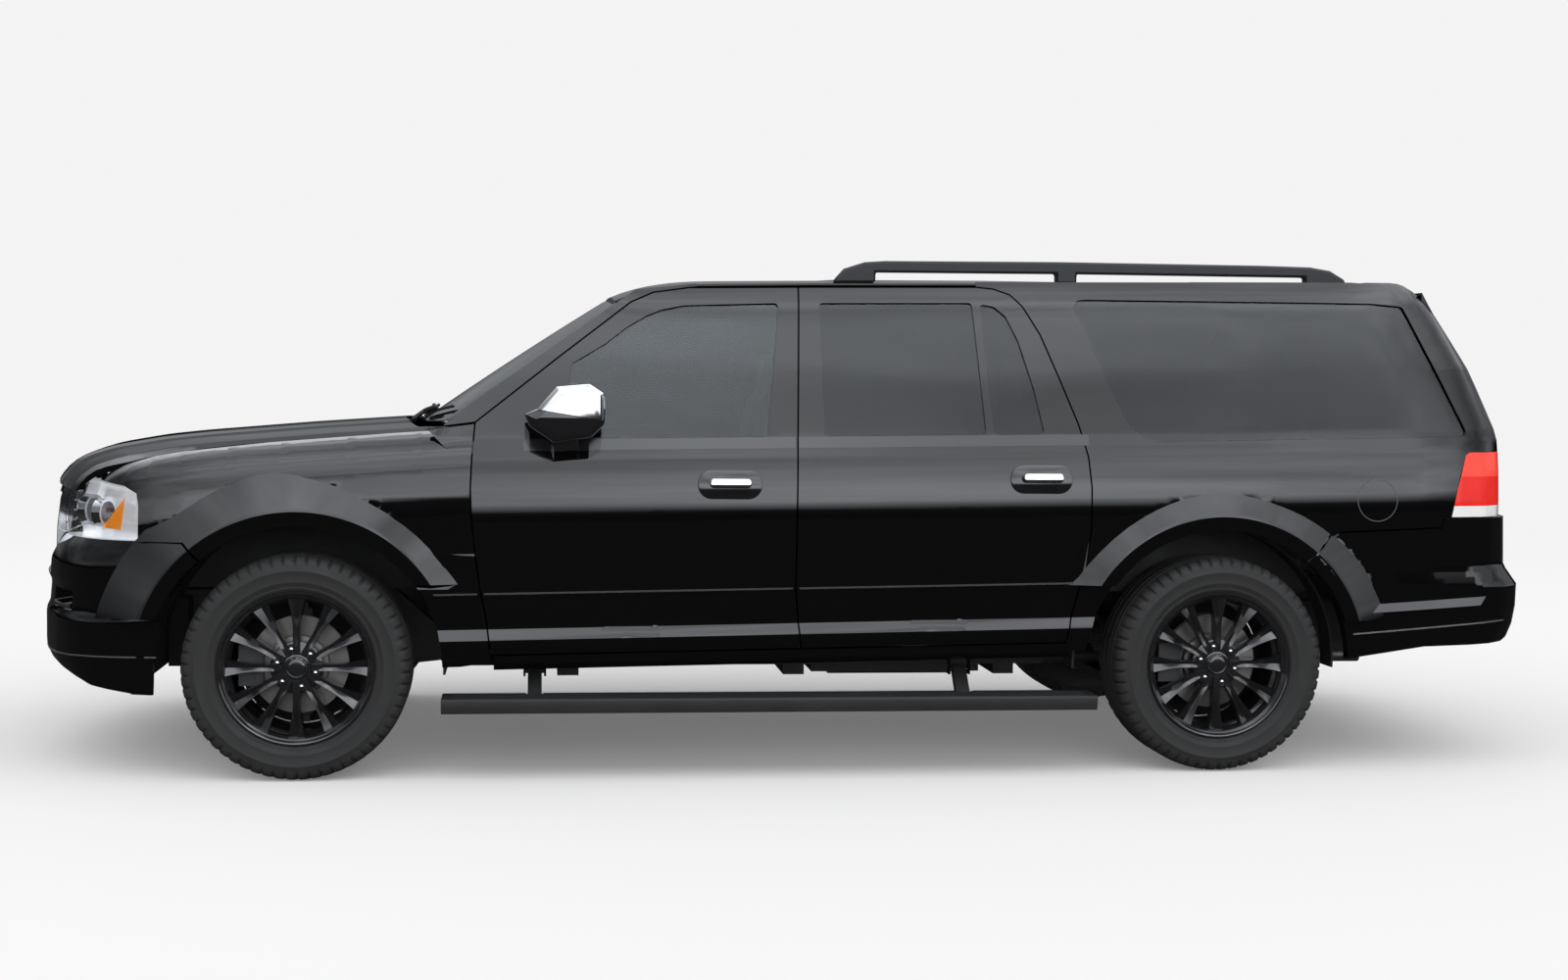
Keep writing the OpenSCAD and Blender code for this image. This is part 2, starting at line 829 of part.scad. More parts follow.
module headlamp_form() {
  ys = rev(concat([grille_half + 3], [for (y = nose_ys) if (y > grille_half + 6 && y < 920) y], [926]));
  mirror([0, 1, 0])
    grid_solid(
      [for (y = ys) [for (q = HEADLAMP) [nose + lookup(y, NOSE) + q[1], y, q[0]]]],
      [for (y = ys) [for (q = HEADLAMP) [nose + lookup(y, NOSE) + q[1] + lamp_depth,
        y * (1 - lamp_depth / 1400), q[0]]]]);
}

module headlamps() {
  color("#b9c2c9")
    both_sides()
      headlamp();
}

module tail_lamp() {
  intersection() {
    side_slab(tail - 470, tail - 148, 800, 1230, 0, side_wall, 1);
    side_cut()
      offset(delta = -1)
        lamp_shape();
    box([tail - 700, -far, 700], [tail + 200, -gate_half - gap, 1400]);
  }
}

module tail_lamps() {
  color("#7a1418")
    both_sides()
      tail_lamp();
}

// Rear bumper profile: [height, set forward]
REAR_BUMPER = [[405, 96], [458, 60], [480, 34], [528, 14], [597, 2], [680, 0], [740, 46], [760, 56],
  [940, 62]];
tail_ys = [for (r = TAIL) r[0]];

// Wall along the tail between two depths from its skin
module tail_form(prof, d0, d1, hi = 974) {
  ys = both(concat([for (y = tail_ys) if (y < hi - 2) y], [hi]));
  grid_solid(
    [for (y = ys) [for (q = prof) [tail - lookup(abs(y), TAIL) - q[1] - d0, y * (1 - d0 / 1200), q[0]]]],
    [for (y = ys) [for (q = prof) [tail - lookup(abs(y), TAIL) - q[1] - d1, y * (1 - d1 / 1200), q[0]]]]);
}

gate_bottom = 700;

module rear_bumper() {
  color("#121315")
    difference() {
      union() {
        tail_form(REAR_BUMPER, 0, bumper_wall);
        both_sides()
          flare(xr, no_flare, 560);
      }
      both_sides()
        side_cut()
          polygon([[xr + 300, 300], [xr + 300, 402], [xr + 490, 415], [tail - 507, 458],
            [tail + 50, 470], [tail + 50, 300]]);
      both_sides()
        side_cut()
          rear_arch();
      both_sides()
        side_cut(600, far)
          polygon(concat([for (p = rear_seam) p + [gap / 2, -gap / 2]], [[tail - 440, no_flare],
            [xr - 50, no_flare], [xr - 50, 775]]));
      translate([tail - 300, -gate_half - gap, gate_bottom - gap])
        cube([400, 2 * (gate_half + gap), 400]);
      translate([tail - 300, -far, 940])
        cube([400, 2 * far, 100]);
      translate([tail - 200, -60, 380])
        cube([400, 120, 180]);
      for (sy = [-1, 1], sz = [-1, 1])
        translate([tail - 200, sy * plate_y / 2, plate_z + sz * plate_h / 2])
          rotate([0, 90, 0])
            cylinder(h = 400, r = plate_hole);
    }
}

plate_y = 177.8;
plate_h = 60;
plate_z = 630;
plate_hole = 3.2;

// Tailgate: [height, x from the tail]
GATE = [
  [gate_bottom, 62], [760, 74], [950, 86], [1100, 90], [1190, 100], [1244, 122], [1400, 184],
    [1560, 262], [1700, 346],
  [1740, 372], [1790, 400]];
gate_wall = 80;

module gate_form(d0, d1, hi = gate_half) {
  ys = both(concat([for (y = tail_ys) if (y < hi - 2) y], [hi]));
  grid_solid(
    [for (y = ys) [for (q = GATE) [tail - lookup(abs(y), TAIL) - q[1] - d0, y, q[0]]]],
    [for (y = ys) [for (q = GATE) [tail - lookup(abs(y), TAIL) - q[1] - d1, y, q[0]]]]);
}

module gate_window() {
  translate([tail - 900, 0, 0])
    rotate([90, 0, 90])
      linear_extrude(1000)
        soft_corners(50)
          polygon([[-640, 1236], [640, 1236], [600, 1690], [-600, 1690]]);
}

module tailgate() {
  color("#101113")
    difference() {
      gate_form(0, gate_wall);
      gate_window();
      box([roof_back - 300, -far, 1500], [roof_back + gap, far, 2000]);
    }
}

module tailgate_glass() {
  color("#1b2025", 0.7)
    intersection() {
      gate_form(6, 6 + glass_t);
      translate([tail - 900, 0, 0])
        rotate([90, 0, 90])
          linear_extrude(1000)
            offset(delta = -seat)
              soft_corners(50)
                polygon([[-640, 1236], [640, 1236], [600, 1690], [-600, 1690]]);
    }
}

// Underbody

rail_in = 400;
rail_out = 480;
rail_h = 120;
rear_floor = 700;
rail_z = floor_z - seat - rail_h;
front_rail_z = 500;
rear_rail_z = rear_floor - seat - rail_h;
tail_rail_z = 470;
cross_z = 300;
cross_xs = [xd + 350, xb + 60, xc - 200];
gearbox_r = 120;
drive_z = 440;
under_z = drive_z - gearbox_r - seat;
hitch_z = 444;
hitch_in = 51;
hitch_wall = 7;
pin_r = 8;
hitch_back = 24;

// Side view of a frame rail: [x, bottom]
RAIL = [
  [nose + 150, front_rail_z], [xf + 310, front_rail_z], [post_x - 12, rail_z], [xc - 52, rail_z],
  [xc + 146, rear_rail_z], [xr + 420, rear_rail_z], [xr + 600, tail_rail_z], [tail - 130, tail_rail_z]];

// Cross members under the rails, and the beams behind the bumpers
cross_t = 24;
cross_half = 40;
front_cross = [178, cross_z];
rear_cross = [188, 228];
beam_t = 62;
beam_half = 700;
rear_beam = [540, 592];
hitch_bar = [tail - 330, tail - 262];

// Hangers from the rails to the cross members: [start, length, bottom, top]
HANGERS = concat(
  [for (x = cross_xs) [x - cross_half, 2 * cross_half, under_z, rail_z + 5]],
  [for (x = [xf - 180, xf + 120]) [x, 60, front_cross[1], front_rail_z + 20]],
  [for (x = [xr - 150, xr + 90]) [x, 60, rear_cross[1], rear_rail_z + 20]]);

module frame_rails() {
  tail_cut = max([for (z = rear_beam) lookup(z, REAR_BUMPER)]);
  color("#1a1b1d")
    both_sides()
      difference() {
        union() {
          side_cut(rail_in, rail_out)
            polygon(concat(RAIL, [for (p = rev(RAIL)) p + [0, rail_h]]));
          for (h = HANGERS)
            box([h[0], -rail_out, h[2] + seat], [h[0] + h[1], -rail_in, h[3]]);
        }
        nose_form([[front_rail_z - 1, 0], [front_rail_z + rail_h + 1, 0]],
          0, bumper_wall + beam_t + seat, beam_half);
        tail_form([for (z = [tail_rail_z - 1, tail_rail_z + rail_h + 1]) [z, tail_cut]],
          0, bumper_wall + beam_t + seat, beam_half);
      }
}

module cross_members() {
  color("#1d1e20") {
    for (x = cross_xs)
      box([x - cross_half, -rail_out, under_z - cross_t], [x + cross_half, rail_out, under_z]);
    box([xf - 200, -rail_out, front_cross[0]], [xf + 200, rail_out, front_cross[1]]);
    box([xr - 160, -rail_out, rear_cross[0]], [xr + 160, rail_out, rear_cross[1]]);
    nose_form([[front_rail_z + 5, 0], [553, 0]], bumper_wall + seat, bumper_wall + beam_t, beam_half);
    tail_form([for (z = rear_beam) [z, lookup(z, REAR_BUMPER)]],
      bumper_wall + seat, bumper_wall + beam_t, beam_half);
    box([hitch_bar[0], seat - rail_in, hitch_z - 40], [hitch_bar[1], rail_in - seat, tail_rail_z + 90]);
  }
}

module hitch_receiver() {
  outer = hitch_in / 2 + hitch_wall;
  color("#202123")
    difference() {
      box([hitch_bar[1] + seat, -outer, hitch_z - outer], [tail - hitch_back, outer, hitch_z + outer]);
      box([tail - 250, -hitch_in / 2, hitch_z - hitch_in / 2],
        [tail + 50, hitch_in / 2, hitch_z + hitch_in / 2]);
      translate([tail - hitch_back - 60, 0, hitch_z])
        rotate([90, 0, 0])
          cylinder(h = 200, r = pin_r, center = true);
    }
}

tunnel_half = 140;
tunnel_z = 580;
shaft_half = 75;
shaft_top = 520;
tunnel_end = xd + 700;

module floor_pan() {
  color("#232427")
    difference() {
      union() {
        box([wall_x + seat, -floor_half, floor_z], [xc - 60, floor_half, floor_z + floor_t]);
        box([xc - 78, -floor_half, floor_z], [xc - 60, floor_half, rear_floor + floor_t]);
        box([xc - 78, -690, rear_floor], [tail - 190, 690, rear_floor + floor_t]);
        box([wall_x + seat, -tunnel_half - floor_t, floor_z],
          [tunnel_end, tunnel_half + floor_t, tunnel_z + floor_t]);
        box([tunnel_end - 50, -shaft_half - floor_t, floor_z],
          [xc - 60, shaft_half + floor_t, shaft_top + floor_t]);
      }
      box([tunnel_end - 80, -shaft_half, floor_z - 50], [xc, shaft_half, shaft_top]);
      box([wall_x - 50, -tunnel_half, floor_z - 50], [tunnel_end - floor_t, tunnel_half, tunnel_z]);
    }
}

// Fender flange along the hood's edge, and the apron below it
flange_drop = 55;
flange_t = 4;
function flange_z(x) = hood_z(x, hood_edge) - flange_drop;
apron_in = 505;
function apron_edge(x) = min(845, fender_edge(x) - 12);
apron_xs = [nose + 500, nose + 620, xf - 100, xf + 200, xd - 140];

stop_y = 440;

module front_structure() {
  color("#1c1d20") {
    both_sides() {
      grid_solid(
        [for (x = apron_xs) [for (y = [-apron_edge(x), -apron_in]) [x, y, flange_z(x) - flange_t - seat]]],
        [for (x = apron_xs) [for (y = [-apron_edge(x), -apron_in]) [x, y,
          flange_z(x) - flange_t - seat - 24]]]);
      box([nose + 250, -apron_in - 20, 640], [post_x + 1, -apron_in, 985]);
      box([nose + 490, -apron_in - 20, 900], [post_x + 1, -apron_in, 1010]);
    }
    difference() {
      union() {
        box([post_x, -post_in + seat, floor_z], [wall_x, post_in - seat, 1165]);
        box([post_x, -780 + seat, 540 + seat], [wall_x, 780 - seat, 1090 - seat]);
      }
      box([post_x - 10, -tunnel_half, floor_z - 50], [wall_x + 10, tunnel_half, tunnel_z]);
    }
    difference() {
      union() {
        box([nose + 230, -515, front_rail_z + rail_h + 15], [nose + 280, 515, 985]);
        box([nose + 230, -rail_in + 8, 500], [nose + 280, rail_in - 8, 700]);
      }
      box([nose + 200, -370, 560], [nose + 262, 370, 930]);
    }
    both_sides()
      box([nose + 230, -rail_out, front_rail_z + rail_h + seat], [nose + 280, -rail_in, 700]);
    // Rubber stops under the hood
    difference() {
      both_sides()
        translate([nose + 255, -stop_y, 970])
          cylinder(h = 200, r = 20, $fn = 16);
      hood_form(300, seat);
    }
    intersection() {
      grid_solid(
        [for (x = [0, 60, 130]) [for (y = hood_ys) [xf + 340 + x + hood_back_bow * pow(y / hood_edge,
          2), y, 1214 - 14 * pow(y / hood_edge, 2)]]],
        [for (x = [0, 60, 130]) [for (y = hood_ys) [xf + 340 + x + hood_back_bow * pow(y / hood_edge,
          2), y, 1100]]]);
      box([nose, -post_in + 4, 1000], [wall_x, post_in - 4, 1300]);
    }
  }
}

module fender_flange() {
  xs = concat([nose + 480], [for (x = apron_xs) if (x > nose + 490) x], [xd - 20]);
  function edge(x) = fender_edge(x);
  grid_solid(
    [for (x = xs) [for (y = [-edge(x) - 6, -770]) [x, y, flange_z(x)]]],
    [for (x = xs) [for (y = [-edge(x) - 6, -770]) [x, y, flange_z(x) - flange_t]]]);
  grid_solid(
    [for (x = xs) [for (y = [-edge(x) - 8, -edge(x)]) [x, y, flange_z(x) + flange_drop - 8]]],
    [for (x = xs) [for (y = [-edge(x) - 8, -edge(x)]) [x, y, flange_z(x) - flange_t]]]);
}

engine_back = xf + 210;

module engine() {
  color("#3a3c40") {
    box([xf - 160, -190, cross_z + seat], [xf + 160, 190, 480]);
    translate([xf - 520, 0, 0])
      rotate([90, 0, 90])
        linear_extrude(engine_back - xf + 520)
          polygon([[-200, 430], [200, 430], [330, 760], [330, 900], [160, 980], [-160, 980],
            [-330, 900], [-330, 760]]);
  }
}

module driveline() {
  color("#44464a") {
    translate([engine_back + seat, 0, drive_z])
      rotate([0, 90, 0]) {
        cylinder(h = 240, r1 = 175, r2 = 150);
        cylinder(h = 820, r = gearbox_r);
      }
    translate([engine_back + 800, 0, drive_z])
      rotate([0, 90 + atan((drive_z - hub_z) / (xr - engine_back - 960)), 0])
        cylinder(h = xr - engine_back - 960, r = 46);
    translate([xr - 190, 0, hub_z])
      rotate([0, 90, 0])
        cylinder(h = 330, r1 = 80, r2 = 135);
    translate([xr, 0, hub_z])
      rotate([90, 0, 0])
        cylinder(h = 2 * (half_track - 112 - seat), r = 24, center = true);
  }
}

pipe_r = 30;
pipe_y = 250;

module exhaust() {
  pipe_z = under_z - 24 - seat - pipe_r;
  color("#6b6d70") {
    translate([xd + 260, pipe_y, pipe_z])
      rotate([0, 90, 0])
        cylinder(h = tail - 250 - xd - 260, r = pipe_r);
    translate([xb + 300, pipe_y, pipe_z])
      rotate([0, 90, 0])
        cylinder(h = 520, r = 72);
  }
}

module fuel_tank() {
  color("#26282a")
    box([xb + 140, -rail_in + seat, rail_z - 40], [xc - 280, -90, floor_z - 12]);
}

// Wheels: the axis is local Z, outward

// Tyre section: [radius, distance from the middle plane]
TYRE = [[254, 104], [rim_r, 118], [330, tyre_w / 2], [374, tyre_w / 2 - 8], [390, tyre_w / 2 - 26],
  [tyre_r, tyre_w / 2 - 48]];
// Rim section on the face side, from the flange inward
RIM_FACE = [[253.6, 60], [253.6, 104.6], [rim_r, 119], [rim_r, 126], [262, 126], [250, 118],
  [244, 100], [barrel_r, 60]];

module tyre() {
  rotate_extrude($fn = 96)
    polygon(concat([for (p = rev(TYRE)) [p[0], -p[1]]], TYRE));
}

module spoke() {
  difference() {
    translate([0, 0, 62])
      linear_extrude(36)
        polygon([[50, -13], [150, -12], [238, -30], [238, 30], [150, 12], [50, 13]]);
    translate([252, 0, 98])
      rotate([0, -6, 0])
        translate([-100, 0, 0])
          rotate([45, 0, 0])
            cube([260, 18, 18], center = true);
  }
}

module rim() {
  difference() {
    union() {
      rotate_extrude($fn = 96)
        polygon(concat(
          [[barrel_r, -118], [262, -126], [rim_r, -126], [rim_r, -119], [253.6, -104.6], [253.6, -60],
            [241, -40], [241, 40]],
          RIM_FACE));
      for (k = [0:spokes - 1])
        rotate(k * 360 / spokes)
          spoke();
      translate([0, 0, -20])
        cylinder(h = 28, r = 172);
      translate([0, 0, -20])
        cylinder(h = 112, r = 76);
      cylinder(h = 104, r = 44);
    }
    translate([0, 0, -21])
      cylinder(h = 71, r = spindle_r + spindle_fit);
  }
}

module at_wheel(x) {
  translate([x, -half_track, hub_z])
    rotate([90, 0, 0])
      children();
}

knuckle_h = 190;
hub_in = 72;
hub_back = 112;

module upright(h) {
  translate([-36, -h, -hub_back])
    cube([72, 2 * h, hub_back - hub_in]);
  translate([0, 0, -hub_in - 1])
    cylinder(h = hub_in + 46, r = spindle_r);
}

module caliper() {
  difference() {
    translate([-205, -72, -50])
      cube([85, 144, 88]);
    translate([-196, -100, -28])
      cube([100, 200, 44]);
  }
  translate([-196, -40, -hub_in - 10])
    cube([180, 80, hub_in + 10 - 36]);
}

module knuckle() {
  at_wheel(xf) {
    upright(knuckle_h);
    caliper();
  }
}

pin_y = half_track - scrub;

// Control arm in plan with its ball end on the kingpin
module control_arm(w_ball, w_neck, w_in, z, t) {
  plan_cut(z, z + t)
    translate([xf, -pin_y])
      polygon([
        [-w_ball, -28], [w_ball, -28], [w_neck, 80], [w_in, pin_y - rail_out - seat],
          [w_in - 60, pin_y - rail_out - seat],
        [0, 130], [60 - w_in, pin_y - rail_out - seat], [-w_in, pin_y - rail_out - seat], [-w_neck, 80]]);
}

module suspension_arms() {
  color("#2f3134")
    both_sides() {
      control_arm(28, 32, 150, hub_z - knuckle_h - seat - 26, 26);
      control_arm(24, 26, 100, hub_z + knuckle_h + seat, 20);
      at_wheel(xr) {
        upright(165);
        caliper();
      }
      for (z = [hub_z - 165 - 5, hub_z + 165 - 25])
        box([xr - 50, -half_track + hub_in + 10, z], [xr + 50, -rail_out - seat, z + 30]);
    }
}

liner_z = 360;
shield_t = 6;
// Splash shields on the frame rails: [front, back, bottom, top]
SHIELDS = [[xf - arch_r, xf - 165, liner_z, 600], [xr + 390, xr + 760, 390, 580]];

module liner_ring(x) {
  inner = arch_r + liner_gap;
  outer = inner + liner_t;
  difference() {
    polygon(concat([[x + outer, liner_z], [x - outer, liner_z]], arc(x, hub_z, outer, 180, 0, 24)));
    polygon(concat([[x + inner, 300], [x - inner, 300]], arc(x, hub_z, inner, 180, 0, 24)));
  }
}

module wheel_liners() {
  color("#0c0c0d")
    both_sides() {
      side_cut(apron_in + 20 + seat, 895)
        liner_ring(xf);
      side_cut(690 + seat, 795)
        liner_ring(xr);
      side_cut(690 + seat, 698)
        intersection() {
          polygon(arc(xr, hub_z, arch_r + 6, 180, 0, 24));
          translate([xr - 700, 640])
            square([1400, 600]);
        }
    }
}

module splash_shields() {
  color("#0e0e0f")
    both_sides()
      for (b = SHIELDS)
        box([b[0], -rail_out - seat - shield_t, b[2]], [b[1], -rail_out - seat, b[3]]);
}

// Roof rails

rail_mid = 690;
rail_w = 40;

module roof_rails() {
  color("#3c3e41")
    both_sides()
      difference() {
        side_cut(rail_mid - rail_w / 2, rail_mid + rail_w / 2)
          difference() {
            polygon([
              [xb + 115, 1740], [xb + 199, 1836], [xb + 274, 1861], [xb + 350, 1867],
                [xb + 1012, 1877], [xb + 1792, 1880],
              [xb + 1990, 1878], [xb + 2070, 1866], [xb + 2128, 1833], [xb + 2156, 1740]]);
            polygon([[xb + 316, 1700], [xb + 316, 1824], [xb + 1000, 1832], [xb + 1000, 1700]]);
            polygon([[xb + 1080, 1700], [xb + 1080, 1833], [xb + 1970, 1838], [xb + 1970, 1700]]);
          }
        roof_form(seat, 40);
      }
}

// Cabin

dash_z = 1120;
wheel_y = -400;

module dashboard() {
  color("#1d1d1f") {
    translate([0, post_in - 6, 0])
      side_cut(0, 2 * (post_in - 6))
        polygon([
          [wall_x + seat, 780], [wall_x + seat, 1150], [wall_x + 180, dash_z], [wall_x + 380, dash_z - 60],
          [wall_x + 360, 820], [wall_x + 200, 740]]);
    translate([wall_x + 430, wheel_y, dash_z - 70])
      rotate([0, 65, 0]) {
        rotate_extrude()
          translate([180, 0])
            circle(15, $fn = 16);
        for (a = [0, 120, 240])
          rotate(a + 60)
            translate([0, -16, -8])
              cube([176, 32, 14]);
        cylinder(h = 24, r = 62, center = true);
        translate([0, 0, -170])
          cylinder(h = 170, r = 28);
      }
  }
}

// Seat side view: pedestal, cushion, back and head rest on a floor at height z
module seat_form(x, y, w, z, drop = 0) {
  translate([x, y + w / 2, z + seat - drop])
    rotate([90, 0, 0]) {
      linear_extrude(w)
        soft_corners(40)
          polygon([[-280, 240], [-290, 370], [-240, 400], [190, 360], [250, 380], [390, 900],
            [450, 930], [500, 900], [390, 420], [300, 250]]);
      translate([0, 0, w / 2 - 130])
        linear_extrude(260)
          soft_corners(30)
            polygon([[395, 890], [400, 1010], [440, 1080], [520, 1060], [520, 980], [490, 880]]);
      translate([0, 0, w * 0.15])
        linear_extrude(w * 0.7)
          polygon([[-200, drop], [-230, 300], [250, 300], [220, drop]]);
    }
}

front_seat_x = xd + 770;
mid_seat_x = xb + 620;
rear_seat_x = xr + 20;

module front_seats() {
  color("#2a2826")
    for (y = [-425, 425])
      seat_form(front_seat_x, y, 510, floor_z + floor_t);
}

module middle_seats() {
  color("#2a2826")
    for (y = [-400, 400])
      seat_form(mid_seat_x, y, 500, floor_z + floor_t);
}

module rear_seats() {
  color("#2a2826")
    for (y = [-320, 320])
      seat_form(rear_seat_x, y, 600, rear_floor + floor_t, 120);
}

// Running boards on swing arms

step_pivot = [770, 356];
step_end = step_pivot + [step_reach, -step_fall];
step_pin = 9;
step_eye = 17;
step_xs = [xd + 225, xc - 440];
step_w = 50;
board_y = step_end[0] + 25;

module step_link(x) {
  difference() {
    translate([x - step_w / 2, 0, 0])
      rotate([90, 0, 90])
        linear_extrude(step_w)
          hull() {
            translate([-step_pivot[0], step_pivot[1]])
              circle(step_eye, $fn = 12);
            translate([-step_end[0], step_end[1]])
              circle(step_eye, $fn = 12);
          }
    for (p = [step_pivot, step_end])
      translate([x, -p[0], p[1]])
        rotate([0, 90, 0])
          cylinder(h = step_w + 2, r = step_pin + seat, center = true, $fn = 24);
  }
}

// Two ears and a pin that hold an eye, up from the eye
module step_ears(x, p, top) {
  for (s = [-1, 1])
    translate([x + s * (step_w / 2 + 12) - 4, -p[0] - 18, p[1] - 18])
      cube([8, 36, top + 18]);
  step_pin_at(x, p);
}

module step_pin_at(x, p) {
  translate([x, -p[0], p[1]])
    rotate([0, 90, 0])
      cylinder(h = step_w + 30, r = step_pin, center = true, $fn = 24);
}

module step_arms() {
  for (x = step_xs)
    step_link(x);
}

module step_arms_left() {
  color("#1a1b1d")
    step_arms();
}

module step_arms_right() {
  color("#1a1b1d")
    right_side()
      step_arms();
}

module step_board() {
  out = -board_y - board_w;
  difference() {
    translate([xd - 100, 0, 0])
      rotate([90, 0, 90])
        linear_extrude(xc - xd + 122)
          polygon([
            [-board_y, board_top], [-board_y, board_top - 30], [-board_y - 40, board_top - board_t],
            [out + 8, board_top - board_t - 10], [out, board_top - 26], [out, board_top - 6],
              [out + 8, board_top]]);
    for (x = step_xs)
      box([x - step_w / 2 - 6, -board_y - 36, board_top - 60],
        [x + step_w / 2 + 6, -board_y + 1, board_top + 1]);
  }
  for (x = step_xs) {
    for (s = [-1, 1])
      translate([x + s * (step_w / 2 + 12) - 4, -board_y - 4, step_end[1] - 16])
        cube([8, 44, 34]);
    step_pin_at(x, step_end);
  }
}

module step_board_left() {
  color("#1a1b1d")
    step_board();
}

module step_board_right() {
  color("#1a1b1d")
    right_side()
      step_board();
}

module tyre_front_left() {
  color("#151516")
    at_wheel(xf)
      tyre();
}

module rim_front_left() {
  color("#1b1c1e")
    at_wheel(xf)
      rim();
}

module tyre_rear_left() {
  color("#151516")
    at_wheel(xr)
      tyre();
}

module rim_rear_left() {
  color("#1b1c1e")
    at_wheel(xr)
      rim();
}

module knuckle_left() {
  color("#3a3c40")
    knuckle();
}

module tyre_front_right() {
  color("#151516")
    right_side()
      at_wheel(xf)
      tyre();
}

module rim_front_right() {
  color("#1b1c1e")
    right_side()
      at_wheel(xf)
      rim();
}

module tyre_rear_right() {
  color("#151516")
    right_side()
      at_wheel(xr)
      tyre();
}

module rim_rear_right() {
  color("#1b1c1e")
    right_side()
      at_wheel(xr)
      rim();
}

module knuckle_right() {
  color("#3a3c40")
    right_side()
      knuckle();
}

frame_rails();
cross_members();
hitch_receiver();
floor_pan();
front_structure();
engine();
driveline();
exhaust();
fuel_tank();
suspension_arms();
body_side_left();
body_side_right();
roof_panel();
fender_left();
fender_right();
front_bumper();
rear_bumper();
grille();
headlamps();
tail_lamps();
fixed_glass();
roof_rails();
wheel_liners();
splash_shields();
dashboard();
front_seats();
middle_seats();
rear_seats();
hood();
front_door_left();
front_door_right();
rear_door_left();
rear_door_right();
front_glass_left();
front_glass_right();
rear_glass_left();
rear_glass_right();
mirror_left();
mirror_right();
tailgate();
tailgate_glass();
knuckle_left();
knuckle_right();
tyre_front_left();
tyre_front_right();
tyre_rear_left();
tyre_rear_right();
rim_front_left();
rim_front_right();
rim_rear_left();
rim_rear_right();
step_arms_left();
step_arms_right();
step_board_left();
step_board_right();
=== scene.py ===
"""Looks of a long sport utility vehicle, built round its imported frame."""

import json
import math

import bmesh
import bpy
import numpy as np
from bpy.props import FloatProperty, FloatVectorProperty, IntProperty, PointerProperty
from mathutils import Matrix, Vector


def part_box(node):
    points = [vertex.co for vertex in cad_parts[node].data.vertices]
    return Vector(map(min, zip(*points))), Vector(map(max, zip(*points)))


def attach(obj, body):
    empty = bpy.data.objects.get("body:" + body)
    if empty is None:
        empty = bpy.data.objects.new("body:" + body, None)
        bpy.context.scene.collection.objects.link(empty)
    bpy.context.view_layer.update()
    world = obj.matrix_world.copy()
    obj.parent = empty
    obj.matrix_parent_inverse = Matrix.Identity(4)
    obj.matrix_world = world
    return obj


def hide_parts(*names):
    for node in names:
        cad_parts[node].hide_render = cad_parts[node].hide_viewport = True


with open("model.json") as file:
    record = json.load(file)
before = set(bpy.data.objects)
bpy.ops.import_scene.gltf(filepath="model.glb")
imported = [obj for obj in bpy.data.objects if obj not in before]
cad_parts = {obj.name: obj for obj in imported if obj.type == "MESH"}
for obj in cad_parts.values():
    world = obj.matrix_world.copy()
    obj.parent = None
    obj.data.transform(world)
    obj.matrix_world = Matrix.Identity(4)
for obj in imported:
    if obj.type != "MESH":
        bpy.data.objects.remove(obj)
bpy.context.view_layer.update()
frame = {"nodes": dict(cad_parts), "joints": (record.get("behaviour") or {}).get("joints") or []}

bl_info = {
    "name": "Sport utility vehicle",
    "version": (1, 0, 0),
    "blender": (4, 5, 0),
    "location": "View3D > Sidebar > Vehicle",
    "description": "Paint, glass, wheels, lamps, trim and seats round the vehicle's frame",
    "category": "Object",
}

JOINTS = {j["name"]: j for j in frame["joints"]}
ALONG, ACROSS, UP = range(3)
LEFTWARD, REARWARD, UPWARD = Vector((0, -1, 0)), Vector((1, 0, 0)), Vector((0, 0, 1))

# Places taken from the frame, in metres
NOSE_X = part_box("front_bumper")[0].x
TAIL_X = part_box("rear_bumper")[1].x
FRONT_X, HUB_Y, HUB_Z = JOINTS["wheel_front_left_spin"]["pos_m"]
REAR_X = JOINTS["wheel_rear_left_spin"]["pos_m"][0]
HINGE_BACK, REAR_DOOR_LENGTH = 0.060, 1.081
DOOR_X = JOINTS["front_door_left_hinge"]["pos_m"][0] - HINGE_BACK
PILLAR_X = JOINTS["rear_door_left_hinge"]["pos_m"][0] - HINGE_BACK
QUARTER_X = PILLAR_X + REAR_DOOR_LENGTH
RAKE = math.tan(math.radians(1.1))

# Section of the body side: (height on the raked datum, half width)
SIDE = (
    (0.397, 0.905), (0.427, 0.944), (0.512, 0.962), (0.550, 0.946), (0.664, 0.962), (0.680, 0.972),
    (0.800, 0.977), (0.950, 0.976), (1.060, 0.968), (1.140, 0.956), (1.178, 0.947), (1.221, 0.938),
    (1.450, 0.880), (1.702, 0.810), (1.747, 0.792), (1.785, 0.760))
SIDE_CREASES = (0.512, 0.550, 0.664, 0.680, 1.178, 1.221)
# Plan of the body side: (x, inset)
PLAN = (
    (NOSE_X + 0.250, 0.135), (NOSE_X + 0.300, 0.096), (NOSE_X + 0.345, 0.072), (NOSE_X + 0.420, 0.042),
    (NOSE_X + 0.520, 0.022), (NOSE_X + 0.620, 0.011), (FRONT_X - 0.100, 0.003), (FRONT_X + 0.300, 0.0),
    (REAR_X + 0.200, 0.0), (REAR_X + 0.480, 0.008), (REAR_X + 0.784, 0.020), (TAIL_X - 0.373, 0.036),
    (TAIL_X - 0.263, 0.066), (TAIL_X - 0.190, 0.118), (TAIL_X - 0.148, 0.190))
# Lean of the rear pillar: (height on the raked datum, forward shift)
LEAN = ((0.0, 0.0), (1.196, 0.0), (1.450, 0.092), (1.700, 0.215), (1.800, 0.270))
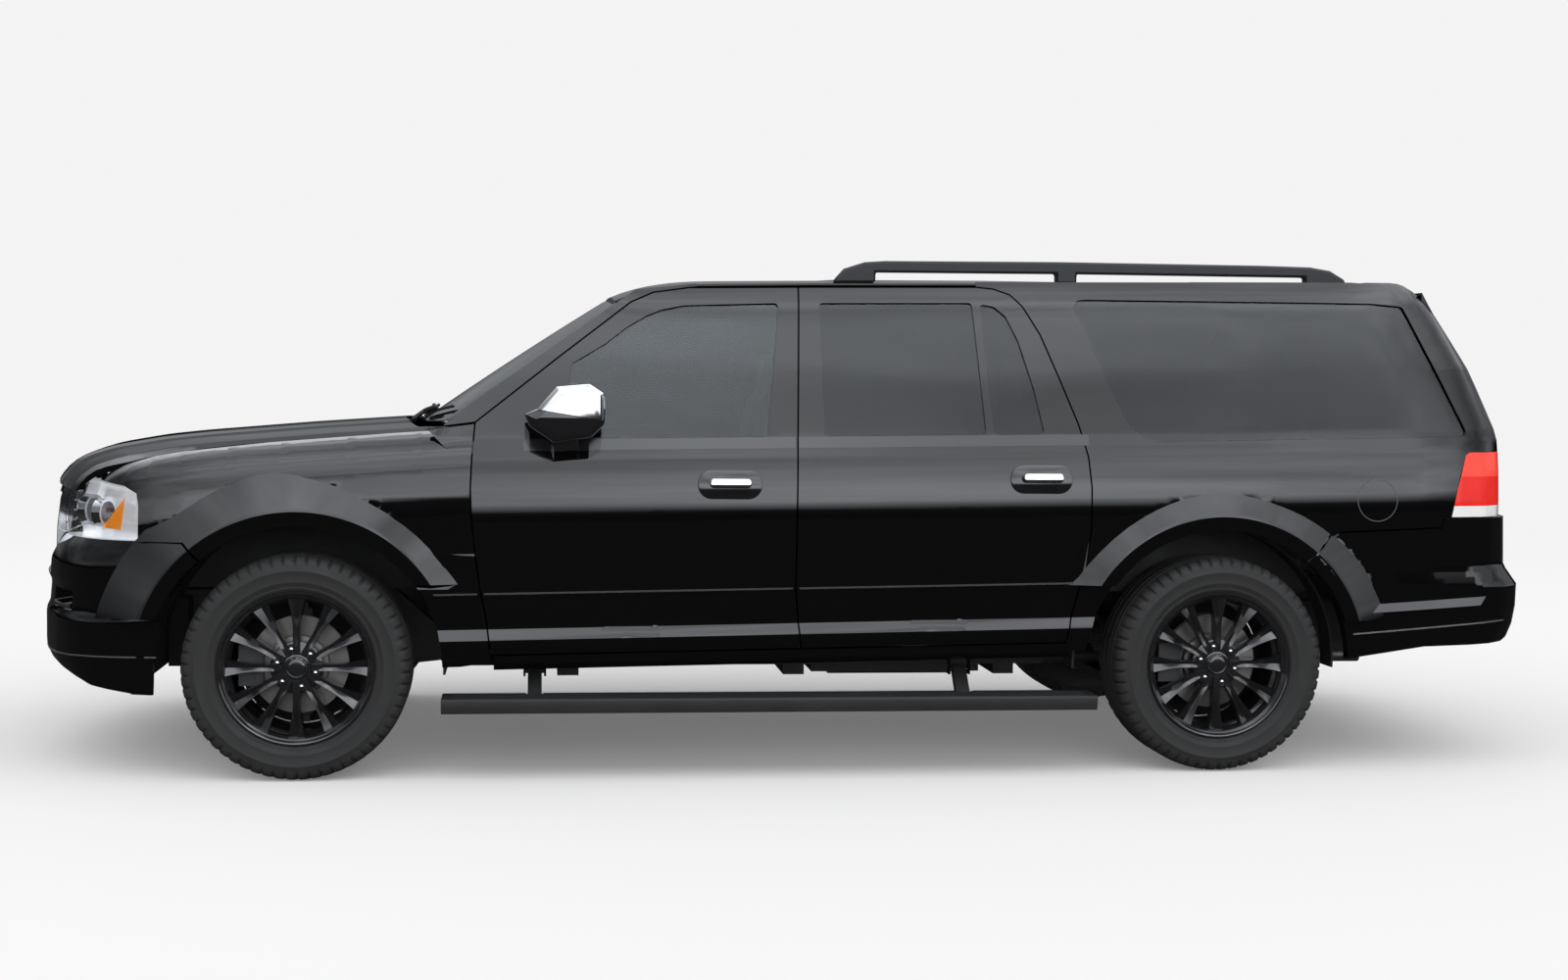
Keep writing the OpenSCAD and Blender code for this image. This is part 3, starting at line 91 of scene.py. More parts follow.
# Plan of the nose and of the tail: (distance from the middle, set back)
NOSE = (
    (0.0, 0.0), (0.200, 0.012), (0.400, 0.046), (0.550, 0.088), (0.700, 0.148), (0.800, 0.212),
    (0.860, 0.275), (0.905, 0.345), (0.935, 0.420), (0.955, 0.520), (0.966, 0.670))
TAIL = (
    (0.0, 0.0), (0.300, 0.005), (0.550, 0.021), (0.700, 0.040), (0.780, 0.062), (0.850, 0.104),
    (0.905, 0.176), (0.932, 0.268), (0.949, 0.450), (0.959, 0.600), (0.970, 0.850), (0.974, 0.960))
# Hood and roof: middle lines, and their fall towards the sides
HOOD = (
    (0.046, 1.032), (0.056, 1.054), (0.081, 1.076), (0.133, 1.113), (0.243, 1.149), (0.423, 1.182),
    (0.568, 1.199), (0.987, 1.237), (1.323, 1.262), (1.440, 1.268))
HOOD_EDGE = 0.830
HOOD_FALL = ((0.0, 0.0), (0.300, 0.003), (0.470, 0.007), (0.520, 0.014), (0.720, 0.023), (HOOD_EDGE, 0.030))
ROOF = (
    (DOOR_X + 0.500, 1.735), (DOOR_X + 0.545, 1.757), (DOOR_X + 0.640, 1.781), (DOOR_X + 0.720, 1.794),
    (DOOR_X + 0.800, 1.801), (PILLAR_X + 0.040, 1.811), (PILLAR_X + 0.720, 1.824), (REAR_X - 0.100, 1.829),
    (REAR_X + 0.600, 1.828), (REAR_X + 0.780, 1.817), (REAR_X + 0.860, 1.806))
ROOF_FALL = ((0.0, 0.0), (0.250, 0.003), (0.450, 0.010), (0.600, 0.020), (0.700, 0.029), (0.764, 0.036))
# Fall of the fender from the hood's edge: (drop, outward)
FENDER = (
    (0.0, 0.0), (0.010, 0.034), (0.030, 0.062), (0.070, 0.088), (0.130, 0.104), (0.220, 0.114),
    (0.300, 0.117), (0.480, 0.118))
FENDER_IN = max(width for _, width in SIDE) - FENDER[-1][1]
# Where the fender takes up the body side's section behind the front arch, and the fillet there
FENDER_LOW, FENDER_BACK, FENDER_FILLET = 0.82, FRONT_X + 0.2, 0.004
FENDER_KNOTS = np.array(
    [NOSE_X + 0.310] + [x for x, _ in PLAN if NOSE_X + 0.320 < x < DOOR_X - 0.08] + [DOOR_X - 0.06, DOOR_X + 0.04])
# Bumper and gate profiles: (height, set back)
FRONT_BUMPER = (
    (0.300, 0.060), (0.391, 0.012), (0.418, 0.0), (0.556, 0.0), (0.568, 0.012), (0.660, 0.020),
    (0.680, 0.006), (0.751, 0.010), (0.800, 0.034), (0.834, 0.064))
GATE = (
    (0.700, 0.062), (0.760, 0.074), (0.950, 0.086), (1.100, 0.090), (1.190, 0.100), (1.244, 0.122),
    (1.400, 0.184), (1.560, 0.262), (1.700, 0.346), (1.740, 0.372), (1.790, 0.400))
# Wheel arch flares, and the height that each ends at in front of its hub and behind it
ARCH_R, LIP_R, FLARE_R = 0.498, 0.548, 0.680
FLARE_Y, FLARE_BASE = 1.001, 0.954
FLARE_SLOPE = (FLARE_Y - FLARE_BASE) / (FLARE_R - LIP_R)
FLARE_ENDS = ((FRONT_X, 0.832, 0.690), (REAR_X, 0.690, 0.700))
# Depth by which a dressed panel lies under the turned flare rings
FLARE_SINK = 0.006
# The sill keeps its solid's form, and the easing grows above it
SILL_TOP, SILL_FADE = 0.420, 0.060
# Half width that loses against any other where a form is absent
NOWHERE = -1.0


class EasedLine:
    """A table's straight segments, and the same line with its corners eased."""

    STEP = 0.001
    CREASE_SPREAD, CREASE_WIDTH = 0.6, 0.004

    def __init__(self, table, ease, creases=()):
        self.keys, self.values = np.array(table, float).T
        pad = 4 * ease
        x = np.arange(self.keys[0] - pad, self.keys[-1] + pad, self.STEP)
        slope_in = (self.values[1] - self.values[0]) / (self.keys[1] - self.keys[0])
        slope_out = (self.values[-1] - self.values[-2]) / (self.keys[-1] - self.keys[-2])
        y = np.interp(x, self.keys, self.values)
        y += np.minimum(x - self.keys[0], 0) * slope_in + np.maximum(x - self.keys[-1], 0) * slope_out
        width = np.full_like(x, ease)
        for crease in creases:
            width = np.minimum(width, np.maximum(self.CREASE_SPREAD * np.abs(x - crease), self.CREASE_WIDTH))
        for _ in range(2):
            area = np.concatenate([[0.0], np.cumsum((y[1:] + y[:-1]) / 2 * self.STEP)])
            y = (np.interp(x + width, x, area) - np.interp(x - width, x, area)) / (2 * width)
        self.x, self.y = x, y

    def straight(self, t):
        return np.interp(t, self.keys, self.values)

    def eased(self, t):
        return np.interp(t, self.x, self.y)

    def shift(self, t):
        inside = np.clip(t, self.keys[0], self.keys[-1])
        return self.eased(inside) - self.straight(inside)


side_line = EasedLine(SIDE, 0.050, SIDE_CREASES)
plan_line = EasedLine(PLAN, 0.040)
lean_line = EasedLine(LEAN, 0.060)
nose_line = EasedLine(NOSE, 0.030, (NOSE[-1][0],))
tail_line = EasedLine(TAIL, 0.020, (TAIL[-1][0],))
hood_line = EasedLine(HOOD, 0.030)
hood_fall = EasedLine(HOOD_FALL, 0.060, (0.470, 0.520))
roof_line = EasedLine(ROOF, 0.060)
roof_fall = EasedLine(ROOF_FALL, 0.060)
fender_line = EasedLine(FENDER, 0.012)
bumper_line = EasedLine(FRONT_BUMPER, 0.010)
gate_line = EasedLine(GATE, 0.040)


def soft_max(a, b, k):
    """The larger of two values, with a fillet of size k where they meet."""
    h = np.clip(k - np.abs(a - b), 0, k) / k
    return np.maximum(a, b) + h * h * k / 4


def skin(x, z, eased=True):
    """Half width of the body side at a place seen from the side."""
    low = z - RAKE * x
    along = x + lean_line.straight(low)
    if eased:
        return side_line.eased(low) - plan_line.eased(along)
    return side_line.straight(low) - plan_line.straight(along)


def side_y(x, z):
    """Y of the left skin at one place."""
    return -float(skin(x, z))


def flare(x, z):
    """Half width of the flare round the nearer arch."""
    out = np.full_like(x, NOWHERE)
    for hub_x, front_end, rear_end in FLARE_ENDS:
        r = np.hypot(x - hub_x, z - HUB_Z)
        cone = FLARE_Y - FLARE_SLOPE * np.maximum(r - LIP_R, 0)
        floor = np.where(x < hub_x, front_end, rear_end)
        out = np.where((r < FLARE_R) & (z > floor - 1e-4), np.maximum(out, cone), out)
    return out


def fender_out(x, z, eased=True):
    """Half width of the fender below the hood's edge."""
    set_back, drop = nose_line.straight(HOOD_EDGE), hood_fall.straight(HOOD_EDGE)
    if eased:
        top = hood_line.eased(x - NOSE_X - set_back) - drop
        edge, fall = FENDER_IN - plan_line.eased(x), fender_line.eased
    else:
        top = np.interp(x, FENDER_KNOTS, hood_line.straight(FENDER_KNOTS - NOSE_X - set_back) - drop)
        edge = np.interp(x, FENDER_KNOTS, FENDER_IN - plan_line.straight(FENDER_KNOTS))
        fall = fender_line.straight
    upper = edge + fall(np.clip(top - z, 0, FENDER[-1][0]))
    lower = np.where((z - RAKE * x < FENDER_LOW) & (x > FENDER_BACK), skin(x, z, eased), NOWHERE)
    return soft_max(upper, lower, FENDER_FILLET) if eased else np.maximum(upper, lower)


# Movers: each takes points from a panel's straight solid to its eased surface

def ease_width(co, width, share=1.0):
    """Moves left side points outward by the easing of a half width, or by a share of it."""
    x, z = co[:, ALONG], co[:, UP]
    bulge = flare(x, z)
    eased = np.maximum(width(x, z), bulge - FLARE_SINK)
    straight = np.maximum(width(x, z, False), bulge)
    co[:, ACROSS] -= (eased - straight) * share
    return co


def ease_side(co):
    above_sill = np.clip((co[:, UP] - RAKE * co[:, ALONG] - SILL_TOP) / SILL_FADE, 0, 1)
    return ease_width(co, skin, above_sill)


def ease_fender(co):
    return ease_width(co, fender_out)


def ease_hood(co):
    y = np.abs(co[:, ACROSS])
    s = co[:, ALONG] - NOSE_X - nose_line.straight(y)
    co[:, UP] += hood_line.shift(s) - hood_fall.shift(y)
    return ease_nose(co)


def ease_roof(co):
    co[:, UP] += roof_line.shift(co[:, ALONG]) - roof_fall.shift(np.abs(co[:, ACROSS]))
    return co


def ease_nose(co):
    co[:, ALONG] += nose_line.shift(np.abs(co[:, ACROSS]))
    return co


def ease_bumper(co):
    co[:, ALONG] += bumper_line.shift(co[:, UP])
    return ease_nose(co)


def ease_gate(co):
    co[:, ALONG] -= gate_line.shift(co[:, UP])
    co[:, ALONG] -= tail_line.shift(np.abs(co[:, ACROSS]))
    return co


def still(co):
    return co


# Finishes

def feed(tree, socket, value):
    """Sets a node's input to a constant, or links it to another node's output."""
    if isinstance(value, bpy.types.NodeSocket):
        tree.links.new(value, socket)
    else:
        socket.default_value = value


def add_node(tree, kind, settings=None, **inputs):
    """A shader node with its settings made and its named inputs fed."""
    node = tree.nodes.new("ShaderNode" + kind)
    for name, value in (settings or {}).items():
        setattr(node, name, value)
    for name, value in inputs.items():
        feed(tree, node.inputs[name.replace("_", " ")], value)
    return node


def spread(tree, source, low, high, to_low, to_high):
    """A value taken from one range to another."""
    node = add_node(tree, "MapRange", Value=source, From_Min=low, From_Max=high, To_Min=to_low, To_Max=to_high)
    return node.outputs["Result"]


def mixed(tree, factor, first, second):
    """A mix of two colours, each a constant or another node's output."""
    return add_node(tree, "Mix", {"data_type": "RGBA"}, Factor=factor, A=first, B=second).outputs["Result"]


def scaled(tree, colour, factor):
    """A colour times a value."""
    return add_node(tree, "VectorMath", {"operation": "SCALE"}, Vector=colour, Scale=factor).outputs["Vector"]


def grain_group():
    """Fine grain over broad cloudiness: a height for bump and a mask for colour and roughness."""
    group = bpy.data.node_groups.new("surface_grain", "ShaderNodeTree")
    for label, default in (("Scale", 300.0), ("Cloud Scale", 3.0)):
        socket = group.interface.new_socket(name=label, in_out="INPUT", socket_type="NodeSocketFloat")
        socket.default_value = default
    for label in ("Height", "Cloud"):
        group.interface.new_socket(name=label, in_out="OUTPUT", socket_type="NodeSocketFloat")
    values, out = group.nodes.new("NodeGroupInput"), group.nodes.new("NodeGroupOutput")
    place = add_node(group, "TexCoord").outputs["Object"]
    for scale, detail, result in (("Scale", 4.0, "Height"), ("Cloud Scale", 3.0, "Cloud")):
        noise = add_node(group, "TexNoise", Vector=place, Scale=values.outputs[scale], Detail=detail)
        group.links.new(noise.outputs["Fac"], out.inputs[result])
    return group


def look(colour, rough, grain=300.0, cloud=3.0, bump=0.0, vary=0.12, **sockets):
    """Colour, roughness, scales of grain and clouds, bump height, drift, and the shader's own sockets."""
    return colour, rough, grain, cloud, bump, vary, sockets


def tint(colour):
    """A clear sheet whose body colour dims what is seen through it."""
    return look(colour, 0.0, cloud=1.5, vary=0.04, Transmission_Weight=1.0, IOR=1.48)


GRAIN = grain_group()
MADE = {}
# The paint and the floor take their colours from the settings
LOOKS = {
    "gloss_paint": look(None, 0.32, grain=900.0, cloud=2.0, vary=0.10, Coat_Weight=1.0, Coat_Roughness=0.015,
                        Coat_IOR=1.56, Specular_IOR_Level=0.0),
    "gloss_trim": look((0.008, 0.008, 0.009), 0.10, grain=700.0, vary=0.15, Coat_Weight=0.6, Coat_Roughness=0.03),
    "moulded_plastic": look((0.016, 0.016, 0.017), 0.52, grain=1400.0, cloud=6.0, bump=0.0004, vary=0.2),
    "chrome": look((0.60, 0.61, 0.62), 0.08, grain=500.0, vary=0.05, Metallic=1.0),
    "rubber": look((0.014, 0.014, 0.014), 0.72, grain=1800.0, cloud=9.0, bump=0.0003, vary=0.25),
    # Near black: the dust shields behind the wheels, partly their own colour and partly painted shade, and the block
    # by the front arch, which is painted shade
    "shield_black_and_painted_shade": look((0.004, 0.004, 0.004), 0.9, vary=0.2),
    "front_glass_tint": tint((0.46, 0.53, 0.55)),
    "privacy_glass_tint": tint((0.15, 0.17, 0.185)),
    "windshield_tint": tint((0.74, 0.80, 0.79)),
    "wheel_black": look((0.010, 0.010, 0.011), 0.16, grain=900.0, vary=0.15, Coat_Weight=0.8, Coat_Roughness=0.04),
    "nut_dark": look((0.030, 0.030, 0.032), 0.40, grain=800.0, vary=0.2, Metallic=0.7),
    "disc_iron": look((0.20, 0.19, 0.18), 0.42, grain=120.0, cloud=14.0, bump=0.0002, vary=0.25, Metallic=0.9),
    "lamp_lens": look((0.93, 0.94, 0.95), 0.02, vary=0.02, Transmission_Weight=1.0, IOR=1.30),
    # The bowl's grey-white glow is a painted reflection: it brightens the bowl beyond what it mirrors
    "lamp_bowl_painted_reflection": look((0.72, 0.73, 0.75), 0.24, grain=200.0, cloud=30.0, vary=0.2, Metallic=0.75,
                      Emission_Color=(0.80, 0.82, 0.85, 1), Emission_Strength=0.40),
    "lamp_amber": look((0.85, 0.25, 0.02), 0.15, grain=150.0, bump=0.0006, vary=0.1, Coat_Weight=0.6,
                       Emission_Color=(0.90, 0.28, 0.02, 1), Emission_Strength=0.25),
    "lamp_red": look((0.66, 0.020, 0.014), 0.14, grain=140.0, cloud=20.0, bump=0.0008, vary=0.15, Coat_Weight=0.25,
                     Specular_IOR_Level=0.2, Emission_Color=(0.90, 0.03, 0.02, 1), Emission_Strength=0.10),
    "lamp_red_upper": look((0.80, 0.060, 0.040), 0.14, grain=90.0, cloud=30.0, bump=0.0012, vary=0.2, Coat_Weight=0.25,
                           Specular_IOR_Level=0.2, Emission_Color=(0.95, 0.06, 0.04, 1), Emission_Strength=0.14),
    "lamp_white": look((0.75, 0.76, 0.77), 0.15, grain=140.0, bump=0.0008, vary=0.08, Coat_Weight=1.0),
    "projector_glass": look((0.10, 0.11, 0.12), 0.03, vary=0.1, Coat_Weight=1.0),
    "satin_rail": look((0.030, 0.031, 0.033), 0.34, grain=600.0, vary=0.15, Metallic=0.6),
    "bright_line": look((0.42, 0.42, 0.43), 0.25, grain=500.0, vary=0.1, Metallic=0.9),
    # Grey of the fuel door's ring: a painted highlight on the door's edge
    "painted_edge_highlight": look((0.10, 0.10, 0.105), 0.4, grain=500.0, vary=0.1, Metallic=0.5),
    "seat_cloth": look((0.030, 0.028, 0.027), 0.80, grain=1200.0, cloud=8.0, bump=0.0006, vary=0.25),
    "cabin_vinyl": look((0.022, 0.022, 0.023), 0.60, grain=1500.0, cloud=5.0, bump=0.0005, vary=0.2),
    "underbody_coat": look((0.012, 0.012, 0.012), 0.65, grain=500.0, cloud=6.0, bump=0.0006, vary=0.3),
    "bare_steel": look((0.16, 0.16, 0.16), 0.45, grain=400.0, cloud=9.0, bump=0.0003, vary=0.3, Metallic=0.9),
    "cast_iron": look((0.07, 0.07, 0.07), 0.60, grain=600.0, cloud=8.0, bump=0.0008, vary=0.3, Metallic=0.6),
    "floor_paper": look(None, 0.9, grain=40.0, cloud=0.5, vary=0.004, Specular_IOR_Level=0.0, Emission_Strength=1.0),
}


def finish(name, setting=None):
    """The named Principled material: its colour and roughness drift softly and its grain is a bump."""
    if name in MADE:
        return MADE[name]
    colour, rough, grain, cloud, bump, vary, sockets = LOOKS[name]
    colour = colour or setting or bpy.context.scene.vehicle_finish.paint[:3]
    material = bpy.data.materials.new(name)
    material.use_nodes = True
    tree = material.node_tree
    surface = add_node(tree, "Group", {"node_tree": GRAIN}, Scale=grain, Cloud_Scale=cloud)
    drift = surface.outputs["Cloud"]
    darker, lighter = ((*[min(1.0, c * share) for c in colour], 1) for share in (1 - vary, 1 + vary))
    fed = {"Base Color": mixed(tree, drift, darker, lighter),
           "Roughness": spread(tree, drift, 0.0, 1.0, rough * (1 - vary), min(1.0, rough * (1 + vary)))}
    if bump:
        relief = add_node(tree, "Bump", Strength=1.0, Distance=bump, Height=surface.outputs["Height"])
        fed["Normal"] = relief.outputs["Normal"]
    fed.update((socket.replace("_", " "), value) for socket, value in sockets.items())
    for socket, value in fed.items():
        feed(tree, tree.nodes["Principled BSDF"].inputs[socket], value)
    MADE[name] = material
    return material


# Mesh helpers

def turned(degrees, axis):
    return Matrix.Rotation(math.radians(degrees), 4, axis)


def outward(bm):
    """Makes all faces look outward."""
    bmesh.ops.recalc_face_normals(bm, faces=bm.faces)
    return bm


def thicken(bm, thick):
    """Gives a sheet its thickness."""
    bmesh.ops.solidify(bm, geom=bm.faces[:], thickness=thick)
    return outward(bm)


def tag(bm, index):
    """Gives all faces one of the piece's finishes."""
    for f in bm.faces:
        f.material_index = index
    return bm


def placed(bm, matrix):
    bmesh.ops.transform(bm, matrix=matrix, verts=bm.verts)
    return bm


def join(bm, *others):
    """Joins other bmeshes into bm."""
    for other in others:
        mesh = bpy.data.meshes.new("part")
        other.to_mesh(mesh)
        other.free()
        bm.from_mesh(mesh)
        bpy.data.meshes.remove(mesh)
    return bm


def with_parts(faces):
    """Faces with their edges and corners, as a cut takes them."""
    return [*{e for f in faces for e in f.edges}, *{v for f in faces for v in f.verts}, *faces]


def cut(bm, at, out, clear=False, geom=None):
    """Cuts a mesh, or some of it, by a plane, and clears what lies past it if asked."""
    if geom is None:
        geom = bm.verts[:] + bm.edges[:] + bm.faces[:]
    return bmesh.ops.bisect_plane(bm, geom=geom, dist=1e-5, plane_co=at, plane_no=out, clear_outer=clear)


def cut_off(bm, at, out):
    """Clears what lies past a plane, and closes the cut."""
    rim = [g for g in cut(bm, at, out, True)["geom_cut"] if isinstance(g, bmesh.types.BMEdge)]
    bmesh.ops.holes_fill(bm, edges=rim, sides=0)
    outward(bm)


def split_faces(bm):
    """Splits the faces of more than four corners while they are still flat."""
    bmesh.ops.triangulate(bm, faces=[f for f in bm.faces if len(f.verts) > 4])


def close_holes(bm):
    """Closes what cuts left open."""
    bmesh.ops.holes_fill(bm, edges=[e for e in bm.edges if len(e.link_faces) == 1], sides=0)
    split_faces(bm)
    return outward(bm)


def bmesh_of(node):
    """A CAD node's mesh with its doubles merged and its flat faces joined."""
    bm = bmesh.new()
    bm.from_mesh(frame["nodes"][node].data)
    bmesh.ops.remove_doubles(bm, verts=bm.verts, dist=2e-5)
    bmesh.ops.dissolve_limit(bm, angle_limit=math.radians(0.3), verts=bm.verts, edges=bm.edges)
    return bm


def slice_cells(bm, out, cells):
    """Cuts the faces that look along out, or all, into cells: (axis, size) pairs."""
    bm.normal_update()
    geom = with_parts([f for f in bm.faces if out is None or f.normal.dot(out) > 0.15])
    for axis, size in cells:
        values = [v.co[axis] for v in bm.verts]
        low, high = min(values), max(values)
        for k in range(1, int((high - low) / size) + 1):
            point, normal = Vector(), Vector()
            point[axis], normal[axis] = low + k * size, 1.0
            geom = cut(bm, point, normal, geom=geom)["geom"]


def dress(node, out, cells, mover):
    """A CAD panel's mesh, cut into cells and eased onto its smooth surface."""
    bm = bmesh_of(node)
    slice_cells(bm, out, cells)
    split_faces(bm)
    for v, p in zip(bm.verts, mover(np.array([v.co for v in bm.verts], float))):
        v.co = p
    bmesh.ops.remove_doubles(bm, verts=bm.verts, dist=5e-5)
    bm.normal_update()
    return bm


def mesh_of(name, bm):
    """A mesh with smooth faces from a bmesh, which is freed."""
    mesh = bpy.data.meshes.new(name)
    for f in bm.faces:
        f.smooth = True
    bm.to_mesh(mesh)
    bm.free()
    return mesh


def new_piece(name, shape, body, finishes, slot, replaces=(), angle=30, bevel=0.0, bevel_angle=40):
    """Makes an object of a bmesh or mesh that rides on a body, with smooth faces between its sharp edges."""
    mesh = mesh_of(name, shape) if isinstance(shape, bmesh.types.BMesh) else shape
    for material in finishes:
        mesh.materials.append(finish(material))
    if mesh.has_custom_normals:
        mesh.attributes.remove(mesh.attributes["custom_normal"])
    mesh.set_sharp_from_angle(angle=math.radians(angle))
    obj = bpy.data.objects.new(name, mesh)
    bpy.context.scene.collection.objects.link(obj)
    if bevel:
        edge = obj.modifiers.new("edge", "BEVEL")
        edge.width = bevel
        edge.segments = 2
        edge.limit_method = "ANGLE"
        edge.angle_limit = math.radians(bevel_angle)
        edge.use_clamp_overlap = True
        edge.harden_normals = False
    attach(obj, body)
    if replaces:
        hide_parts(*replaces)
    return obj


def mirrored(mesh, name):
    """The same mesh on the other side of the vehicle."""
    other = mesh.copy()
    other.name = name
    other.transform(Matrix.Scale(-1, 4, (0, 1, 0)))
    other.flip_normals()
    return other


def both_sides(name, bm, bodies, finishes, slot, replaces=(), **shape):
    """A left piece from a bmesh, and its mirror image on the right; names end in the side."""
    left = mesh_of(name + "_left", bm)
    for side, mesh in (("left", left), ("right", mirrored(left, name + "_right"))):
        nodes = [node.format(side=side) for node in replaces]
        new_piece(f"{name}_{side}", mesh, bodies.format(side=side), finishes, slot, nodes, **shape)


def chain(bm, points, closed=True):
    """Points joined by edges in a row, for a spin."""
    verts = [bm.verts.new(p) for p in points]
    return verts + [bm.edges.new(pair) for pair in zip(verts, verts[1:] + verts[:closed])]


def revolve(profile, steps, closed=True):
    """A turned form round local Z from (radius, height) points."""
    bm = bmesh.new()
    bmesh.ops.spin(bm, geom=chain(bm, [(r, 0, z) for r, z in profile], closed), cent=(0, 0, 0), axis=(0, 0, 1),
                   angle=2 * math.pi, steps=steps, use_merge=True)
    bmesh.ops.remove_doubles(bm, verts=bm.verts, dist=1e-6)
    return outward(bm)


def peg(segments, low_r, high_r, height):
    """A round or six-sided peg along local Z."""
    bm = bmesh.new()
    bmesh.ops.create_cone(bm, cap_ends=True, segments=segments, radius1=low_r, radius2=high_r, depth=height)
    return bm


def block(size, at):
    """A square block round a point."""
    bm = bmesh.new()
    bmesh.ops.create_cube(bm, size=1.0)
    return placed(bm, Matrix.Translation(at) @ Matrix.Diagonal((*size, 1)))


def prism(outline, depth, edge=0.0, segments=2):
    """A flat outline in local X and Y, raised along local Z, with a rounded top edge."""
    bm = bmesh.new()
    face = bm.faces.new([bm.verts.new((x, y, 0)) for x, y in outline])
    raised = bmesh.ops.extrude_face_region(bm, geom=[face])
    top = [g for g in raised["geom"] if isinstance(g, bmesh.types.BMVert)]
    bmesh.ops.translate(bm, verts=top, vec=(0, 0, depth))
    outward(bm)
    if edge:
        rim = [e for e in bm.edges if all(abs(v.co.z - depth) < 1e-6 for v in e.verts)]
        bmesh.ops.bevel(bm, geom=rim, offset=edge, affect="EDGES", segments=segments, profile=0.5, material=-1)
    return bm


def oval(w, h, corner, n=6):
    """A rounded rectangle's outline, centred."""
    points = []
    for cx, cy, start in ((1, 1, 0), (-1, 1, 90), (-1, -1, 180), (1, -1, 270)):
        for k in range(n + 1):
            a = math.radians(start + 90 * k / n)
            points.append((cx * (w / 2 - corner) + corner * math.cos(a),
                           cy * (h / 2 - corner) + corner * math.sin(a)))
    return points


def tube(points, r, n=10):
    """A round bar along a row of points, with ball joints."""
    bm = bmesh.new()
    for a, b in zip(points, points[1:]):
        turn = (b - a).to_track_quat("Z", "Y").to_matrix().to_4x4()
        join(bm, placed(peg(n, r, r, (b - a).length), Matrix.Translation((a + b) / 2) @ turn))
    for p in points:
        ball = bmesh.new()
        bmesh.ops.create_uvsphere(ball, u_segments=n, v_segments=6, radius=r)
        join(bm, placed(ball, Matrix.Translation(p)))
    return bm


def patch(rows, columns, place, thick, out=None):
    """A sheet over a grid in u and v from 0 to 1, put on place(u, v), turned to out and given a thickness."""
    bm = bmesh.new()
    bmesh.ops.create_grid(bm, x_segments=columns, y_segments=rows, size=0.5)
    for v in bm.verts:
        v.co = place(v.co.x + 0.5, v.co.y + 0.5)
    bm.normal_update()
    outward(bm)
    if out and sum(f.normal.dot(out) for f in bm.faces) < 0:
        bmesh.ops.reverse_faces(bm, faces=bm.faces)
    return thicken(bm, thick)


# Places on the body

STRIP_CELL = 0.06


def skin_strip(x0, x1, bottom, top, lift, thick):
    """A strip along the left side between two heights on the raked datum, lifted off the skin."""
    def place(u, v):
        x = x0 + (x1 - x0) * u
        z = bottom + (top - bottom) * v + RAKE * x
        return x, side_y(x, z) - lift, z

    return patch(3, max(2, int((x1 - x0) / STRIP_CELL)), place, thick, LEFTWARD)


def on_side(x, z):
    """Matrix at the left skin: local X rearward, Y up, Z outward."""
    step = 0.02
    here = side_y(x, z)
    along = Vector((step, side_y(x + step, z) - here, 0)).normalized()
    up = Vector((0, side_y(x, z + step) - here, step)).normalized()
    normal = along.cross(up).normalized()
    up = normal.cross(along).normalized()
    matrix = Matrix((along, up, normal)).transposed().to_4x4()
    matrix.translation = (x, here, z)
    return matrix


# Windshield rows behind the front axle: x and height in the middle, half width, bow back and drop at the side
SHIELD_ROWS = ((0.388, 1.252, 0.905, 0.132, -0.012), (0.610, 1.408, 0.870, 0.098, 0.008),
               (0.850, 1.570, 0.830, 0.062, 0.026), (1.092, 1.726, 0.790, 0.016, 0.040))
SHIELD_FIT = np.polyfit(np.linspace(0.0, 1.0, 4), np.array(SHIELD_ROWS), 3)
SHIELD_OUT = Vector((-0.57, 0, 0.82))
# The body side's windshield post lies behind and above these, and ends this far past the glass
POST_X, POST_Z, POST_BACK, POST_EDGE = -1.45, 1.255, 0.10, 0.004


def shield_point(t, s, lift=0.0):
    """A place on the windshield, t across from -1 to 1 and s up from 0 to 1, lifted off it."""
    x, z, half, bow, drop = ((SHIELD_FIT[0] * s + SHIELD_FIT[1]) * s + SHIELD_FIT[2]) * s + SHIELD_FIT[3]
    return Vector((FRONT_X + x + bow * t * t, half * t, z - drop * t * t)) + SHIELD_OUT * lift


def seal_point(u, v):
    """From the left edge of the windshield (u 0) out to the body's skin (u 1)."""
    inner, edge = shield_point(-0.965, v, 0.005), shield_point(-1, v, 0.008)
    outer = Vector((edge.x, side_y(edge.x, edge.z) - 0.001, edge.z - 0.010))
    return inner.lerp(edge, u * 2) if u < 0.5 else edge.lerp(outer, u * 2 - 1)


def trim_post(bm):
    """Takes the left windshield post back to the edge of the glass."""
    low, high = shield_point(-1, 0), shield_point(-1, 1)
    out = Vector((low.z - high.z, 0, high.x - low.x)).normalized()
    middles = [(f, f.calc_center_median()) for f in bm.faces]
    post = [f for f, at in middles if POST_X < at.x < high.x + POST_BACK and at.z > POST_Z]
    cut(bm, low + out * POST_EDGE, out, True, with_parts(post))
    close_holes(bm)


def nose_point(y, z, lift):
    """A place on the left of the front bumper, lifted forward off its front and outward off its corner."""
    x = NOSE_X + float(nose_line.eased(y)) + float(bumper_line.eased(z))
    return Vector((x - lift * (1.0 if y < 0.8 else 0.3), -y - (lift if y > 0.6 else 0.0), z))


def end_point(x, z, lift):
    """A place on the left side of the rear bumper, lifted off it."""
    y = float(np.interp(TAIL_X - x, tail_line.values, tail_line.keys))
    return Vector((x, -y - lift, z))


